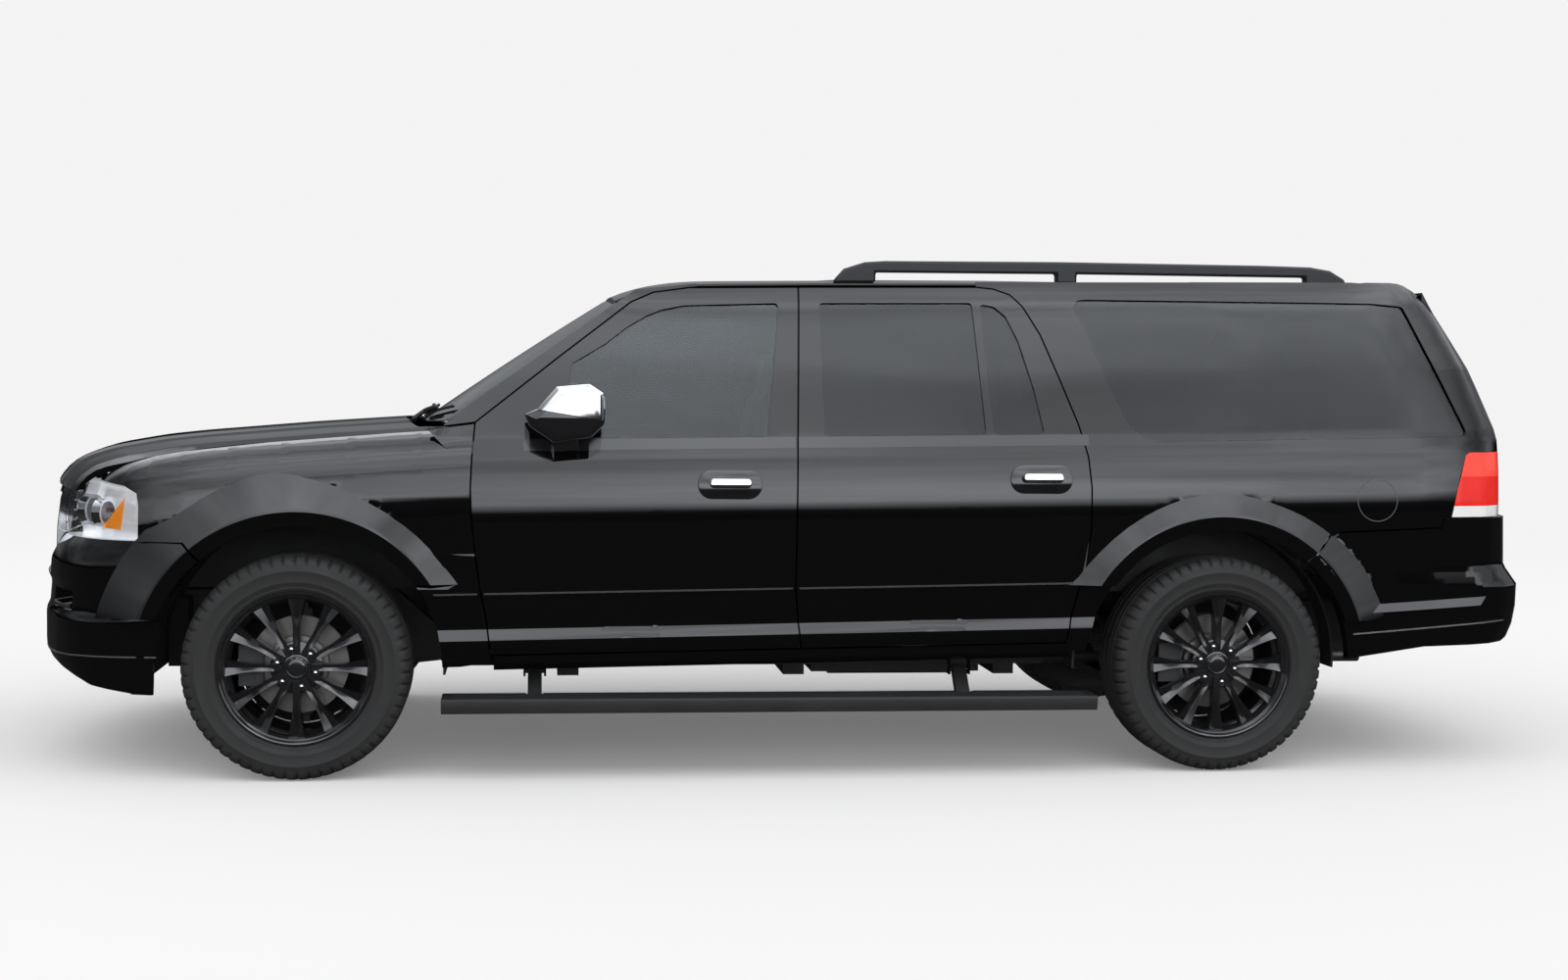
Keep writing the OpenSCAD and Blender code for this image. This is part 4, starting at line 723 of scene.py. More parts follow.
# Flares: name, hub, angles from the rear upward, and heights
FLARE_LIFT, FLARE_RISE, FLARE_WALL, FLARE_STEP = 0.001, 0.152, 0.006, 1.5
FLARES = (
    ("fender_flare", FRONT_X, 20.0, 130.6, 0.690, 1.30), ("fender_flare_tip", FRONT_X, 130.6, 146.0, 0.835, 1.30),
    ("bumper_flare", FRONT_X, 131.4, 168.0, 0.570, 0.829), ("quarter_flare", REAR_X, 49.6, 160.0, 0.690, 1.30),
    ("bumper_end_flare", REAR_X, 10.0, 48.8, 0.560, 0.880))
FLARE_PROFILE = (
    (LIP_R + FLARE_RISE, FLARE_Y - FLARE_SLOPE * FLARE_RISE), (LIP_R + 0.012, FLARE_Y - FLARE_SLOPE * 0.012),
    (LIP_R + 0.003, FLARE_Y - 0.0014), (LIP_R, FLARE_Y), (LIP_R - 0.004, FLARE_Y), (LIP_R - 0.007, FLARE_Y - 0.0009),
    (ARCH_R + 0.002, FLARE_Y - 0.0090), (ARCH_R, FLARE_Y - 0.0110), (ARCH_R, FLARE_BASE),
    (ARCH_R + FLARE_WALL, FLARE_BASE), (ARCH_R + FLARE_WALL, FLARE_Y - 0.011 - FLARE_WALL),
    (LIP_R, FLARE_Y - 0.002 - FLARE_WALL), (LIP_R + FLARE_RISE, FLARE_Y - FLARE_SLOPE * FLARE_RISE - FLARE_WALL))


def axle_matrix(x, y):
    """Axes at a left wheel: local X rearward, Y up, Z outward."""
    return Matrix.Translation((x, y, HUB_Z)) @ turned(90, "X")


def flare_ring(hub_x, start, end, floor, ceiling):
    """Part of a turned flare on the left side, from one angle to another and between two heights."""
    bm = bmesh.new()
    turn = turned(start, "Z")
    bmesh.ops.spin(bm, geom=chain(bm, [turn @ Vector((r, 0, y + FLARE_LIFT)) for r, y in FLARE_PROFILE]),
                   cent=(0, 0, 0), axis=(0, 0, 1), angle=math.radians(end - start),
                   steps=max(6, int((end - start) / FLARE_STEP)))
    placed(bm, axle_matrix(hub_x, 0))
    for height, sign in ((floor, -1), (ceiling, 1)):
        cut(bm, (0, 0, height), (0, 0, sign), True)
    return close_holes(bm)


# Wheels, in axle axes; turned parts are (radius, depth) points, steps, closed or open at the axis, and finish
RIM_FINISHES = WHEEL, NUT, BRIGHT, DISC = "wheel_black", "nut_dark", "chrome", "disc_iron"
RIM_PARTS = (
    (((0.229, -0.118), (0.262, -0.126), (0.270, -0.126), (0.270, -0.119), (0.2536, -0.1046), (0.2536, 0.1046),
      (0.270, 0.119), (0.2705, 0.1245), (0.2685, 0.1275), (0.264, 0.1275), (0.260, 0.125), (0.256, 0.118),
      (0.251, 0.113), (0.246, 0.108), (0.2425, 0.098), (0.240, 0.070), (0.229, 0.058)), 144, True, WHEEL),
    (((0.0, 0.0945), (0.040, 0.0945), (0.046, 0.0935), (0.052, 0.0915), (0.083, 0.0875), (0.090, 0.084),
      (0.093, 0.076), (0.093, 0.030), (0.031, 0.030), (0.031, 0.052), (0.0, 0.052)), 96, False, WHEEL),
    (((0.0, 0.1025), (0.020, 0.1022), (0.028, 0.101), (0.0315, 0.099), (0.0315, 0.090), (0.0, 0.090)), 64, False,
     WHEEL),
    (((0.0322, 0.090), (0.0322, 0.1005), (0.0332, 0.1022), (0.0350, 0.1022), (0.0362, 0.1005), (0.0362, 0.090)), 64,
     True, BRIGHT),
    (((0.080, -0.020), (0.172, -0.020), (0.172, -0.010), (0.160, -0.008), (0.160, -0.004), (0.172, -0.002),
      (0.172, 0.008), (0.108, 0.008), (0.104, 0.026), (0.080, 0.028)), 96, True, DISC))
NUT_PARTS = (
    (((0.0145, -0.002), (0.0165, -0.002), (0.0178, 0.0), (0.0168, 0.0012), (0.0145, 0.0002)), 32, True, WHEEL),
    (((0.0, 0.0), (0.0146, 0.0), (0.0146, -0.0015), (0.0, -0.0015)), 32, False, NUT),
    (((0.0, 0.0165), (0.004, 0.0160), (0.0068, 0.0144), (0.0080, 0.0122), (0.0080, 0.011), (0.0, 0.011)), 24, False,
     BRIGHT))
NUT_COUNT, NUT_TURN, NUT_AT = 6, 15, (0.0675, 0, 0.0905)
VALVE_TURN, VALVE_LEAN, VALVE_AT = 127, -24, (0.231, 0, 0.086)
DUST_SHIELD = ((0.060, -0.101), (0.222, -0.101), (0.222, -0.098), (0.060, -0.098))
# A spoke's reach, face and back, and its section: place across, share of half its width, depth
SPOKE_IN, SPOKE_OUT, SPOKE_FACE, SPOKE_THICK = 0.046, 0.243, 0.096, 0.036
SPOKE_EDGE = 0.006
SPOKE_SECTION = {0.0: (0.0, 1.0), 0.333: (0.44, 0.5), 0.667: (0.88, 0.0), 1.0: (1.0, SPOKE_EDGE)}
# Half of the tyre from bead to shoulder, then its grooves
TYRE_WALL = (
    (0.2545, 0.1040), (0.2700, 0.1185), (0.2790, 0.1240), (0.2830, 0.1252), (0.2850, 0.1245), (0.2990, 0.1300),
    (0.3010, 0.1316), (0.3040, 0.1322), (0.3060, 0.1318), (0.3220, 0.1352), (0.3380, 0.1364), (0.3400, 0.1373),
    (0.3440, 0.1372), (0.3460, 0.1358), (0.3600, 0.1336), (0.3720, 0.1296), (0.3800, 0.1240), (0.3870, 0.1150),
    (0.3905, 0.1080), (0.3930, 0.0980), (0.3945, 0.0860))
TREAD_R, GROOVE_R, GROOVES = 0.3950, 0.3865, (0.068, 0.028)
# Notches between the shoulder blocks: one step in five, outside these radii and past this half width
BLOCK_STEPS, NOTCH_R, RIB_R, RIB_HALF, NOTCH_DEPTH = 5, 0.371, 0.388, 0.0739, 0.0075
SHOULDER_HALF, SHOULDER_PINCH = 0.11, 0.975


def turned_parts(parts):
    """A wheel's turned parts in one bmesh, each with its finish."""
    bm = bmesh.new()
    for profile, steps, closed, name in parts:
        join(bm, tag(revolve(profile, steps, closed), RIM_FINISHES.index(name)))
    return bm


def spoke_mesh():
    """One spoke along local X: narrow at the hub, wide and grooved at the rim."""
    bm = bmesh.new()
    bmesh.ops.create_grid(bm, x_segments=18, y_segments=6, size=1)
    for v in bm.verts:
        t, u = (v.co.x + 1) / 2, round(v.co.y, 3)
        half = 0.0135 + 0.0185 * max(0.0, (t - 0.45) / 0.55) ** 1.6
        groove = 0.015 * min(1.0, max(0.0, (t - 0.12) / 0.55))
        side, depth = SPOKE_SECTION[abs(u)]
        if abs(u) < 1:
            depth *= groove
        v.co = (SPOKE_IN + (SPOKE_OUT - SPOKE_IN) * t, math.copysign(side, u) * half, SPOKE_FACE + 0.006 * t - depth)
    back = bmesh.ops.extrude_face_region(bm, geom=bm.faces[:])
    low = [g for g in back["geom"] if isinstance(g, bmesh.types.BMVert)]
    bmesh.ops.translate(bm, verts=low, vec=(0, 0, -SPOKE_THICK))
    return outward(bm)


def rim_mesh(sizes):
    """The wheel: barrel, hub, cap and its ring, brake disc, spokes, nuts in their wells and valve."""
    bm = turned_parts(RIM_PARTS)
    spokes = spoke_mesh()
    bmesh.ops.spin(spokes, geom=spokes.verts[:] + spokes.edges[:] + spokes.faces[:], cent=(0, 0, 0), axis=(0, 0, 1),
                   angle=2 * math.pi * (sizes.spokes - 1) / sizes.spokes, steps=sizes.spokes - 1, use_duplicate=True)
    join(bm, spokes)
    dark = RIM_FINISHES.index(NUT)
    for k in range(NUT_COUNT):
        turn = Matrix.Rotation(2 * math.pi * (k + 0.5) / NUT_COUNT + math.radians(NUT_TURN), 4, "Z")
        nut = placed(tag(peg(6, 0.0110, 0.0102, 0.016), dark), Matrix.Translation((0, 0, 0.004)))
        join(bm, placed(join(turned_parts(NUT_PARTS), nut), turn @ Matrix.Translation(NUT_AT)))
    stem_at = turned(VALVE_TURN, "Z") @ Matrix.Translation(VALVE_AT) @ turned(VALVE_LEAN, "Y")
    return join(bm, placed(tag(peg(16, 0.0050, 0.0042, 0.034), dark), stem_at))


def tyre_mesh(sizes):
    """The tyre: ribbed walls, shoulder blocks and grooved tread."""
    half = list(TYRE_WALL)
    for middle in GROOVES:
        half += [(TREAD_R, middle + 0.0055), (GROOVE_R, middle + 0.0040), (GROOVE_R, middle - 0.0040),
                 (TREAD_R, middle - 0.0055)]
    steps = sizes.tread_blocks * BLOCK_STEPS
    bm = revolve(half + [(TREAD_R, 0.0)] + [(r, -z) for r, z in reversed(half)], steps)
    for v in bm.verts:
        r, z = math.hypot(v.co.x, v.co.y), abs(v.co.z)
        if r < NOTCH_R or (z < RIB_HALF and r > RIB_R):
            continue
        turn = math.atan2(v.co.y, v.co.x) / (2 * math.pi) * steps
        if round(turn + (v.co.z > 0) * 2.0) % BLOCK_STEPS == 0:
            v.co.xy *= (r - NOTCH_DEPTH) / r
            v.co.z *= SHOULDER_PINCH if z > SHOULDER_HALF else 1.0
    return bm


# Seat pads: voxel, seams' distance from the middle and half width, pinned foot, pressure, frames and reach
PAD_VOXEL, PAD_SEAM, PAD_SEAM_HALF, PAD_FOOT = 0.016, 0.135, 0.009, 0.02
PAD_PRESSURE, PAD_FRAMES, PAD_REACH = 4.0, 20, 0.022
PAD_HEIGHT = 0.840


def applied(obj):
    """The object's mesh as its modifiers make it."""
    return bpy.data.meshes.new_from_object(obj.evaluated_get(bpy.context.evaluated_depsgraph_get()))


def points_of(mesh):
    co = np.empty(len(mesh.vertices) * 3)
    mesh.vertices.foreach_get("co", co)
    return co.reshape(-1, 3)


def pad_out(mesh):
    """Fills a cushion's mesh like foam under cloth: remeshed, puffed out by pressure and held at its seams."""
    scene = bpy.context.scene
    obj = bpy.data.objects.new("pad", mesh)
    scene.collection.objects.link(obj)
    remesh = obj.modifiers.new("remesh", "REMESH")
    remesh.mode = "VOXEL"
    remesh.voxel_size = PAD_VOXEL
    mesh = applied(obj)
    obj.modifiers.clear()
    obj.data = mesh
    rest = points_of(mesh)
    middle = (rest[:, ACROSS].min() + rest[:, ACROSS].max()) / 2
    seam = np.abs(np.abs(rest[:, ACROSS] - middle) - PAD_SEAM) < PAD_SEAM_HALF
    pins = np.nonzero(seam | (rest[:, UP] < rest[:, UP].min() + PAD_FOOT))[0]
    obj.vertex_groups.new(name="seam").add([int(i) for i in pins], 1.0, "REPLACE")
    cloth = obj.modifiers.new("cloth", "CLOTH")
    cloth.settings.use_pressure = True
    cloth.settings.uniform_pressure_force = PAD_PRESSURE
    cloth.settings.effector_weights.gravity = 0.0
    cloth.settings.vertex_group_mass = "seam"
    cloth.point_cache.frame_start = 1
    cloth.point_cache.frame_end = PAD_FRAMES
    for number in range(1, PAD_FRAMES + 1):
        scene.frame_set(number)
    step = points_of(applied(obj)) - rest
    reach = np.linalg.norm(step, axis=1, keepdims=True)
    step *= np.minimum(1.0, PAD_REACH / np.maximum(reach, 1e-9))
    mesh.vertices.foreach_set("co", (rest + step).ravel())
    obj.modifiers.clear()
    scene.frame_set(1)
    smooth = obj.modifiers.new("smooth", "SMOOTH")
    smooth.iterations = 4
    smooth.factor = 0.5
    finer = obj.modifiers.new("finer", "SUBSURF")
    finer.levels = finer.render_levels = 1
    done = applied(obj)
    bpy.data.objects.remove(obj)
    return done


# Settings

class FinishSettings(bpy.types.PropertyGroup):
    """Colours of the vehicle's outside"""
    paint: FloatVectorProperty(name="Paint", description="Base colour of the body paint", subtype="COLOR",
                               default=(0.0022, 0.0022, 0.0025), min=0.0, max=1.0)
    floor: FloatProperty(name="Floor", description="Brightness of the studio floor", default=0.84, min=0.0, max=1.0)
    sky: FloatProperty(name="Sky", description="Strength of the studio's soft light", default=1.0, min=0.0, max=5.0)


class SizeSettings(bpy.types.PropertyGroup):
    """Sizes of the modelled details"""
    spokes: IntProperty(name="Spokes", description="Spokes of each wheel", default=12, min=5, max=24)
    tread_blocks: IntProperty(name="Tread blocks", description="Shoulder blocks round each tyre", default=58, min=20,
                              max=90)
    belt: FloatProperty(name="Belt moulding", description="Height of the belt moulding", default=0.040, unit="LENGTH")
    cell: FloatProperty(name="Panel cell", description="Length of a cell that a panel is cut into", default=0.045,
                        min=0.02, max=0.2, unit="LENGTH")


# Operators

class VEHICLE_OT_side_panels(bpy.types.Operator):
    """Builds the painted doors, body sides and fenders"""
    bl_idname = "vehicle.side_panels"
    bl_label = "Side panels"

    def execute(self, context):
        cells = ((ALONG, context.scene.vehicle_sizes.cell), (UP, 0.02))
        table = (("body_side", "body", ease_side), ("front_door", "front_door_{side}", ease_side),
                 ("rear_door", "rear_door_{side}", ease_side), ("fender", "body", ease_fender))
        for node, body, mover in table:
            bm = dress(node + "_left", LEFTWARD, cells, mover)
            if node == "body_side":
                trim_post(bm)
            both_sides(node + "_skin", bm, body, ["gloss_paint"], "paint", [node + "_{side}"], angle=18)
        return {"FINISHED"}


class VEHICLE_OT_flares(bpy.types.Operator):
    """Turns the flares round the wheel arches"""
    bl_idname = "vehicle.flares"
    bl_label = "Arch flares"

    def execute(self, context):
        for name, *place in FLARES:
            both_sides(name, flare_ring(*place), "body", ["gloss_paint"], "paint", angle=14)
        return {"FINISHED"}


class VEHICLE_OT_top_panels(bpy.types.Operator):
    """Builds the painted hood, roof and tailgate"""
    bl_idname = "vehicle.top_panels"
    bl_label = "Hood, roof and tailgate"

    def execute(self, context):
        cell = context.scene.vehicle_sizes.cell
        flat = ((ALONG, cell), (ACROSS, cell))
        table = (("hood", "hood", UPWARD, flat, ease_hood), ("roof_panel", "body", UPWARD, flat, ease_roof),
                 ("tailgate", "tailgate", REARWARD, ((ACROSS, cell), (UP, 0.03)), ease_gate))
        for node, body, out, cells, mover in table:
            new_piece(node + "_skin", dress(node, out, cells, mover), body, ["gloss_paint"], "paint", [node], angle=22)
        return {"FINISHED"}


class VEHICLE_OT_bumpers(bpy.types.Operator):
    """Builds the front and rear bumpers"""
    bl_idname = "vehicle.bumpers"
    bl_label = "Bumpers"

    def execute(self, context):
        cells = ((ALONG, 0.04), (ACROSS, 0.04), (UP, 0.02))
        for node, mover, angle in (("front_bumper", ease_bumper, 16), ("rear_bumper", still, 34)):
            bm = dress(node, None, cells, mover)
            new_piece(node + "_skin", bm, "body", ["gloss_paint"], "paint", [node], angle=angle)
        return {"FINISHED"}


class VEHICLE_OT_glazing(bpy.types.Operator):
    """Builds the window panes"""
    bl_idname = "vehicle.glazing"
    bl_label = "Glazing"

    def execute(self, context):
        cells = ((ALONG, 0.06), (UP, 0.03))
        for node, glass in (("front", "front_glass_tint"), ("rear", "privacy_glass_tint")):
            bm = dress(node + "_glass_left", None, cells, ease_side)
            both_sides(node + "_pane", bm, node + "_door_{side}", [glass], "tinted_glass", [node + "_glass_{side}"])
        bm = dress("tailgate_glass", None, ((ACROSS, 0.06), (UP, 0.04)), ease_gate)
        new_piece("tailgate_pane", bm, "tailgate", ["privacy_glass_tint"], "tinted_glass", ["tailgate_glass"])
        bm = dress("fixed_glass", None, cells, ease_side)
        bmesh.ops.delete(bm, geom=[v for v in bm.verts if v.co.x < 0 or v.co.y > 0], context="VERTS")
        both_sides("quarter_pane", bm, "body", ["privacy_glass_tint"], "tinted_glass")
        bm = patch(28, 36, lambda u, v: shield_point(2 * u - 1, 0.985 * v), 0.005)
        new_piece("windshield_pane", bm, "body", ["windshield_tint"], "tinted_glass", ["fixed_glass"])
        both_sides("windshield_seal", patch(28, 3, seal_point, 0.004), "body", ["moulded_plastic"], "plastic")
        return {"FINISHED"}


class VEHICLE_OT_wheels(bpy.types.Operator):
    """Builds the four wheels and tyres"""
    bl_idname = "vehicle.wheels"
    bl_label = "Wheels"

    def execute(self, context):
        for kind, make, finishes, slot, angle in (("rim", rim_mesh, RIM_FINISHES, "wheel_gloss", 28),
                                                  ("tyre", tyre_mesh, ["rubber"], "tyre", 35)):
            base = mesh_of(kind, make(context.scene.vehicle_sizes))
            for end, x in (("front", FRONT_X), ("rear", REAR_X)):
                left = base.copy()
                left.transform(axle_matrix(x, HUB_Y))
                for side, mesh in (("left", left), ("right", mirrored(left, kind))):
                    place = f"{end}_{side}"
                    new_piece(f"{kind}_form_{place}", mesh, f"wheel_{place}", finishes, slot, [f"{kind}_{place}"],
                              angle)
            bpy.data.meshes.remove(base)
        for end, x, body in (("front", FRONT_X, "knuckle_{side}"), ("rear", REAR_X, "body")):
            plate = placed(revolve(DUST_SHIELD, 64), axle_matrix(x, HUB_Y))
            both_sides(f"dust_shield_{end}", plate, body, ["shield_black_and_painted_shade"], "steel")
        return {"FINISHED"}


class VEHICLE_OT_lamps(bpy.types.Operator):
    """Builds the headlamps and tail lamps"""
    bl_idname = "vehicle.lamps"
    bl_label = "Lamps"

    # Thickness of a shell; projectors' distance from the middle, set back and radius; amber corner; red bands
    SHELL = 0.003
    PROJECTORS, PROJECTOR_Z, PROJECTOR_TURN = ((0.800, 0.325, 0.040), (0.655, 0.250, 0.046)), 0.925, -24
    AMBER, AMBER_Y = ((-2.402, 0.985), (-2.418, 0.868), (-2.480, 0.876)), -0.860
    WHITE_TOP, RED_TOP = 0.985, 1.095

    def execute(self, context):
        bm = dress("headlamps", None, ((ALONG, 0.03), (ACROSS, 0.03), (UP, 0.03)), ease_nose)
        bm.faces.index_update()
        outer = {f.index for f in bm.faces if f.normal.x < -0.3 or f.normal.y * f.calc_center_median().y > 0.25}
        for name, part, shown, finish_name, nodes in (("headlamp_lens", bm.copy(), True, "lamp_lens", ["headlamps"]),
                                                      ("headlamp_bowl", bm, False, "lamp_bowl_painted_reflection", ())):
            part.faces.index_update()
            bmesh.ops.delete(part, geom=[f for f in part.faces if (f.index in outer) != shown], context="FACES")
            new_piece(name, thicken(part, self.SHELL), "body", [finish_name], "lamp_clear", nodes)
        inner = bmesh.new()
        for y, x, r in self.PROJECTORS:
            ring = revolve(((r, 0.0), (r + 0.010, 0.004), (r + 0.010, -0.030), (r, -0.030)), 40)
            ball = revolve(((0.0, 0.012), (r * 0.5, 0.009), (r * 0.85, 0.0), (r * 0.98, -0.012), (0.0, -0.012)), 40,
                           False)
            at = Matrix.Translation((NOSE_X + x, -y, self.PROJECTOR_Z))
            turn = turned(-90, "Y") @ turned(self.PROJECTOR_TURN, "X")
            join(inner, placed(join(ring, tag(ball, 1)), at @ turn))
        both_sides("headlamp_projectors", inner, "body", ["chrome", "projector_glass"], "lamp_clear")
        mark = placed(prism(self.AMBER, 0.004, 0.001), Matrix.Translation((0, self.AMBER_Y, 0)) @ turned(90, "X"))
        both_sides("headlamp_amber", mark, "body", ["lamp_amber"], "lamp_clear")
        self.tail_lamps()
        return {"FINISHED"}

    def tail_lamps(self):
        """A white band low down, red above it and paler red at the top, on a matt back"""
        red, white, pale, matt = range(4)
        bm = dress("tail_lamps", None, ((ALONG, 0.04), (UP, 0.03)), still)
        for height in (self.WHITE_TOP, self.RED_TOP):
            cut(bm, (0, 0, height), (0, 0, 1))
        bm.normal_update()
        for f in bm.faces:
            middle = f.calc_center_median()
            f.material_index = white if middle.z < self.WHITE_TOP else pale if middle.z > self.RED_TOP else red
            if f.normal.x < -0.3 or f.normal.y * middle.y < -0.3:
                f.material_index = matt
        finishes = ["lamp_red", "lamp_white", "lamp_red_upper", "moulded_plastic"]
        new_piece("tail_lamp_lens", bm, "body", finishes, "lamp_red", ["tail_lamps"])


class VEHICLE_OT_fittings(bpy.types.Operator):
    """Builds the grille, mirrors, door handles, roof rails and running boards"""
    bl_idname = "vehicle.fittings"
    bl_label = "Fittings"

    # Door handles: place on the side and body
    HANDLES = ((-0.302, 1.047, "front_door"), (0.832, 1.074, "rear_door"))
    # Left mirror: outlines of its head and foot, their inner sides, the seam below its cap, and its glass
    HEAD = ((-1.030, 1.293), (-0.985, 1.312), (-0.920, 1.388), (-0.806, 1.400), (-0.757, 1.368),
            (-0.757, 1.258), (-0.800, 1.216), (-0.928, 1.196), (-1.012, 1.252))
    FOOT = ((-0.935, 1.205), (-0.850, 1.222), (-0.840, 1.168), (-0.925, 1.160))
    HEAD_Y, HEAD_DEPTH, FOOT_Y, FOOT_DEPTH = -0.995, 0.205, -0.925, 0.120
    SEAM_AT, SEAM_OUT = Vector((-0.985, 0, 1.310)), Vector((0.16, 0, 1)).normalized()
    GLASS_SIZE, GLASS_AT = (0.003, 0.150, 0.090), (-0.757, -1.100, 1.310)
    # Ribs on the outer half of a running board
    RIB_COUNT, RIB_WIDTH, RIB_HEIGHT, RIB_END, RIB_EDGE = 4, 0.007, 0.003, 0.04, 0.012

    def execute(self, context):
        new_piece("grille_form", bmesh_of("grille"), "body", ["chrome"], "grille_chrome", ["grille"], bevel=0.003)
        new_piece("roof_rail_forms", bmesh_of("roof_rails"), "body", ["satin_rail"], "rail_trim", ["roof_rails"],
                  bevel=0.008)
        self.mirrors()
        for x, z, body in self.HANDLES:
            at = on_side(x, z)
            cup = prism(oval(0.230, 0.105, 0.050), 0.0065, 0.004)
            both_sides(body + "_handle_cup", placed(cup, at), body + "_{side}", ["gloss_trim"], "plastic")
            grip = placed(prism(oval(0.150, 0.034, 0.016), 0.014, 0.006, 3), Matrix.Translation((0, 0.002, 0.026)))
            for end in (-1, 1):
                post = prism(oval(0.022, 0.022, 0.008), 0.022)
                join(grip, placed(post, Matrix.Translation((end * 0.058, 0.002, 0.006))))
            both_sides(body + "_handle_grip", placed(grip, at), body + "_{side}", ["chrome"], "grille_chrome")
        for side in ("left", "right"):
            board = f"step_board_{side}"
            new_piece(f"step_board_form_{side}", bmesh_of(board), board, ["moulded_plastic"], "plastic", [board],
                      bevel=0.003)
        low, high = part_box("step_board_left")
        ribs = bmesh.new()
        for k in range(self.RIB_COUNT):
            y = low.y + self.RIB_EDGE + (high.y - low.y) * 0.5 * k / (self.RIB_COUNT - 1)
            join(ribs, block((high.x - low.x - 2 * self.RIB_END, self.RIB_WIDTH, self.RIB_HEIGHT),
                             ((low.x + high.x) / 2, y, high.z + 0.001)))
        both_sides("step_board_ribs", ribs, "step_board_{side}", ["satin_rail"], "plastic")
        return {"FINISHED"}

    def mirrors(self):
        """Faceted heads with bright caps on short feet, and the glass behind"""
        flat = turned(90, "X")
        bm = placed(prism(self.HEAD, self.HEAD_DEPTH, 0.030, 3), Matrix.Translation((0, self.HEAD_Y, 0)) @ flat)
        cut(bm, self.SEAM_AT, self.SEAM_OUT)
        for f in bm.faces:
            f.material_index = int((f.calc_center_median() - self.SEAM_AT).dot(self.SEAM_OUT) > 0)
        foot = placed(prism(self.FOOT, self.FOOT_DEPTH), Matrix.Translation((0, self.FOOT_Y, 0)) @ flat)
        join(bm, foot, tag(block(self.GLASS_SIZE, self.GLASS_AT), 1))
        both_sides("mirror_form", bm, "front_door_{side}", ["gloss_trim", "chrome"], "plastic", ["mirror_{side}"],
                   bevel=0.006, bevel_angle=20)


class VEHICLE_OT_side_trim(bpy.types.Operator):
    """Builds the belt mouldings, the bright lower lines, the bumpers' trim and the wipers"""
    bl_idname = "vehicle.side_trim"
    bl_label = "Side trim"

    BELT_Z, LOWER_LINE = 1.179, (0.6745, 0.6805)
    BELTS = (("front_door", DOOR_X + 0.18, PILLAR_X - 0.006), ("rear_door", PILLAR_X + 0.006, QUARTER_X - 0.01))
    LOWER_LINES = (("fender", "body", FRONT_X + 0.47, DOOR_X + 0.022),
                   ("front_door", "front_door_{side}", DOOR_X + 0.046, PILLAR_X - 0.012),
                   ("rear_door", "rear_door_{side}", PILLAR_X + 0.012, QUARTER_X - 0.055))
    FUEL_DOOR = ((0.0765, 0.0), (0.0790, 0.0), (0.0790, 0.0008), (0.0765, 0.0008))
    # Wipers: pivot and tip across the windshield; foot and tip up it, and lift of the arm off it
    WIPERS = (("wiper_left", -0.30, -0.82), ("wiper_right", 0.42, -0.12))
    WIPER_LOW, WIPER_RISE, WIPER_LIFT, WIPER_STEPS = 0.03, 0.07, 0.026, 8

    def execute(self, context):
        belt = context.scene.vehicle_sizes.belt
        for body, x0, x1 in self.BELTS:
            strip = skin_strip(x0, x1, self.BELT_Z, self.BELT_Z + belt, 0.002, 0.004)
            both_sides(body + "_belt", strip, body + "_{side}", ["gloss_trim"], "plastic")
        for name, body, x0, x1 in self.LOWER_LINES:
            strip = skin_strip(x0, x1, *self.LOWER_LINE, 0.0015, 0.003)
            both_sides(name + "_lower_line", strip, body, ["bright_line"], "grille_chrome")
        # The fuel door's outline is a grey ring: a painted highlight where the door's edge would catch the sky
        ring = placed(revolve(self.FUEL_DOOR, 64), on_side(2.113, 1.006))
        new_piece("fuel_door_highlight_ring", ring, "body", ["painted_edge_highlight"], "plastic")
        # A near-black block by the front wheel liner, set where a gap would look light: painted shade
        painted_shade = block((0.07, 0.10, 0.25), (-2.268, -0.560, 0.480))
        both_sides("arch_shade_block", painted_shade, "body", ["shield_black_and_painted_shade"], "plastic")
        # Name, rows, columns, place, thickness, finish and slot of the bumpers' trim
        for name, rows, columns, place, thick, material, slot in (
                ("front_bumper_line", 1, 40,
                 lambda u, v: nose_point(0.05 + 0.905 * u, 0.404 + 0.005 * v + 0.027 * u * u, 0.002),
                 0.003, "bright_line", "grille_chrome"),
                ("fog_strip", 1, 12, lambda u, v: nose_point(0.600 + 0.185 * u, 0.585 + 0.012 * v, 0.004),
                 0.008, "chrome", "grille_chrome"),
                ("rear_bumper_facet", 2, 16,
                 lambda u, v: end_point(2.055 + 0.030 * v + 0.48 * u, 0.585 + 0.032 * v + 0.028 * u,
                                        0.013 * (1 - v) + 0.001),
                 0.002, "gloss_paint", "paint"),
                ("rear_bumper_line", 1, 24,
                 lambda u, v: end_point(2.03 + 0.62 * u, 0.505 + 0.005 * v + 0.045 * u, 0.002),
                 0.003, "bright_line", "grille_chrome")):
            both_sides(name, patch(rows, columns, place, thick), "body", [material], slot)
        self.wipers()
        return {"FINISHED"}

    def wipers(self):
        """Two arms and blades that rest above the foot of the windshield"""
        for name, pivot, tip in self.WIPERS:
            shares = [k / self.WIPER_STEPS for k in range(self.WIPER_STEPS + 1)]
            rows = [shield_point(pivot + (tip - pivot) * s, self.WIPER_LOW + self.WIPER_RISE * s, self.WIPER_LIFT)
                    for s in shares]
            blade = tube([p - SHIELD_OUT * 0.014 for p in rows], 0.006)
            arm = tube([shield_point(pivot, -0.04, self.WIPER_LIFT)] + rows[:5], 0.009)
            new_piece(name, join(blade, arm), "body", ["moulded_plastic"], "plastic")


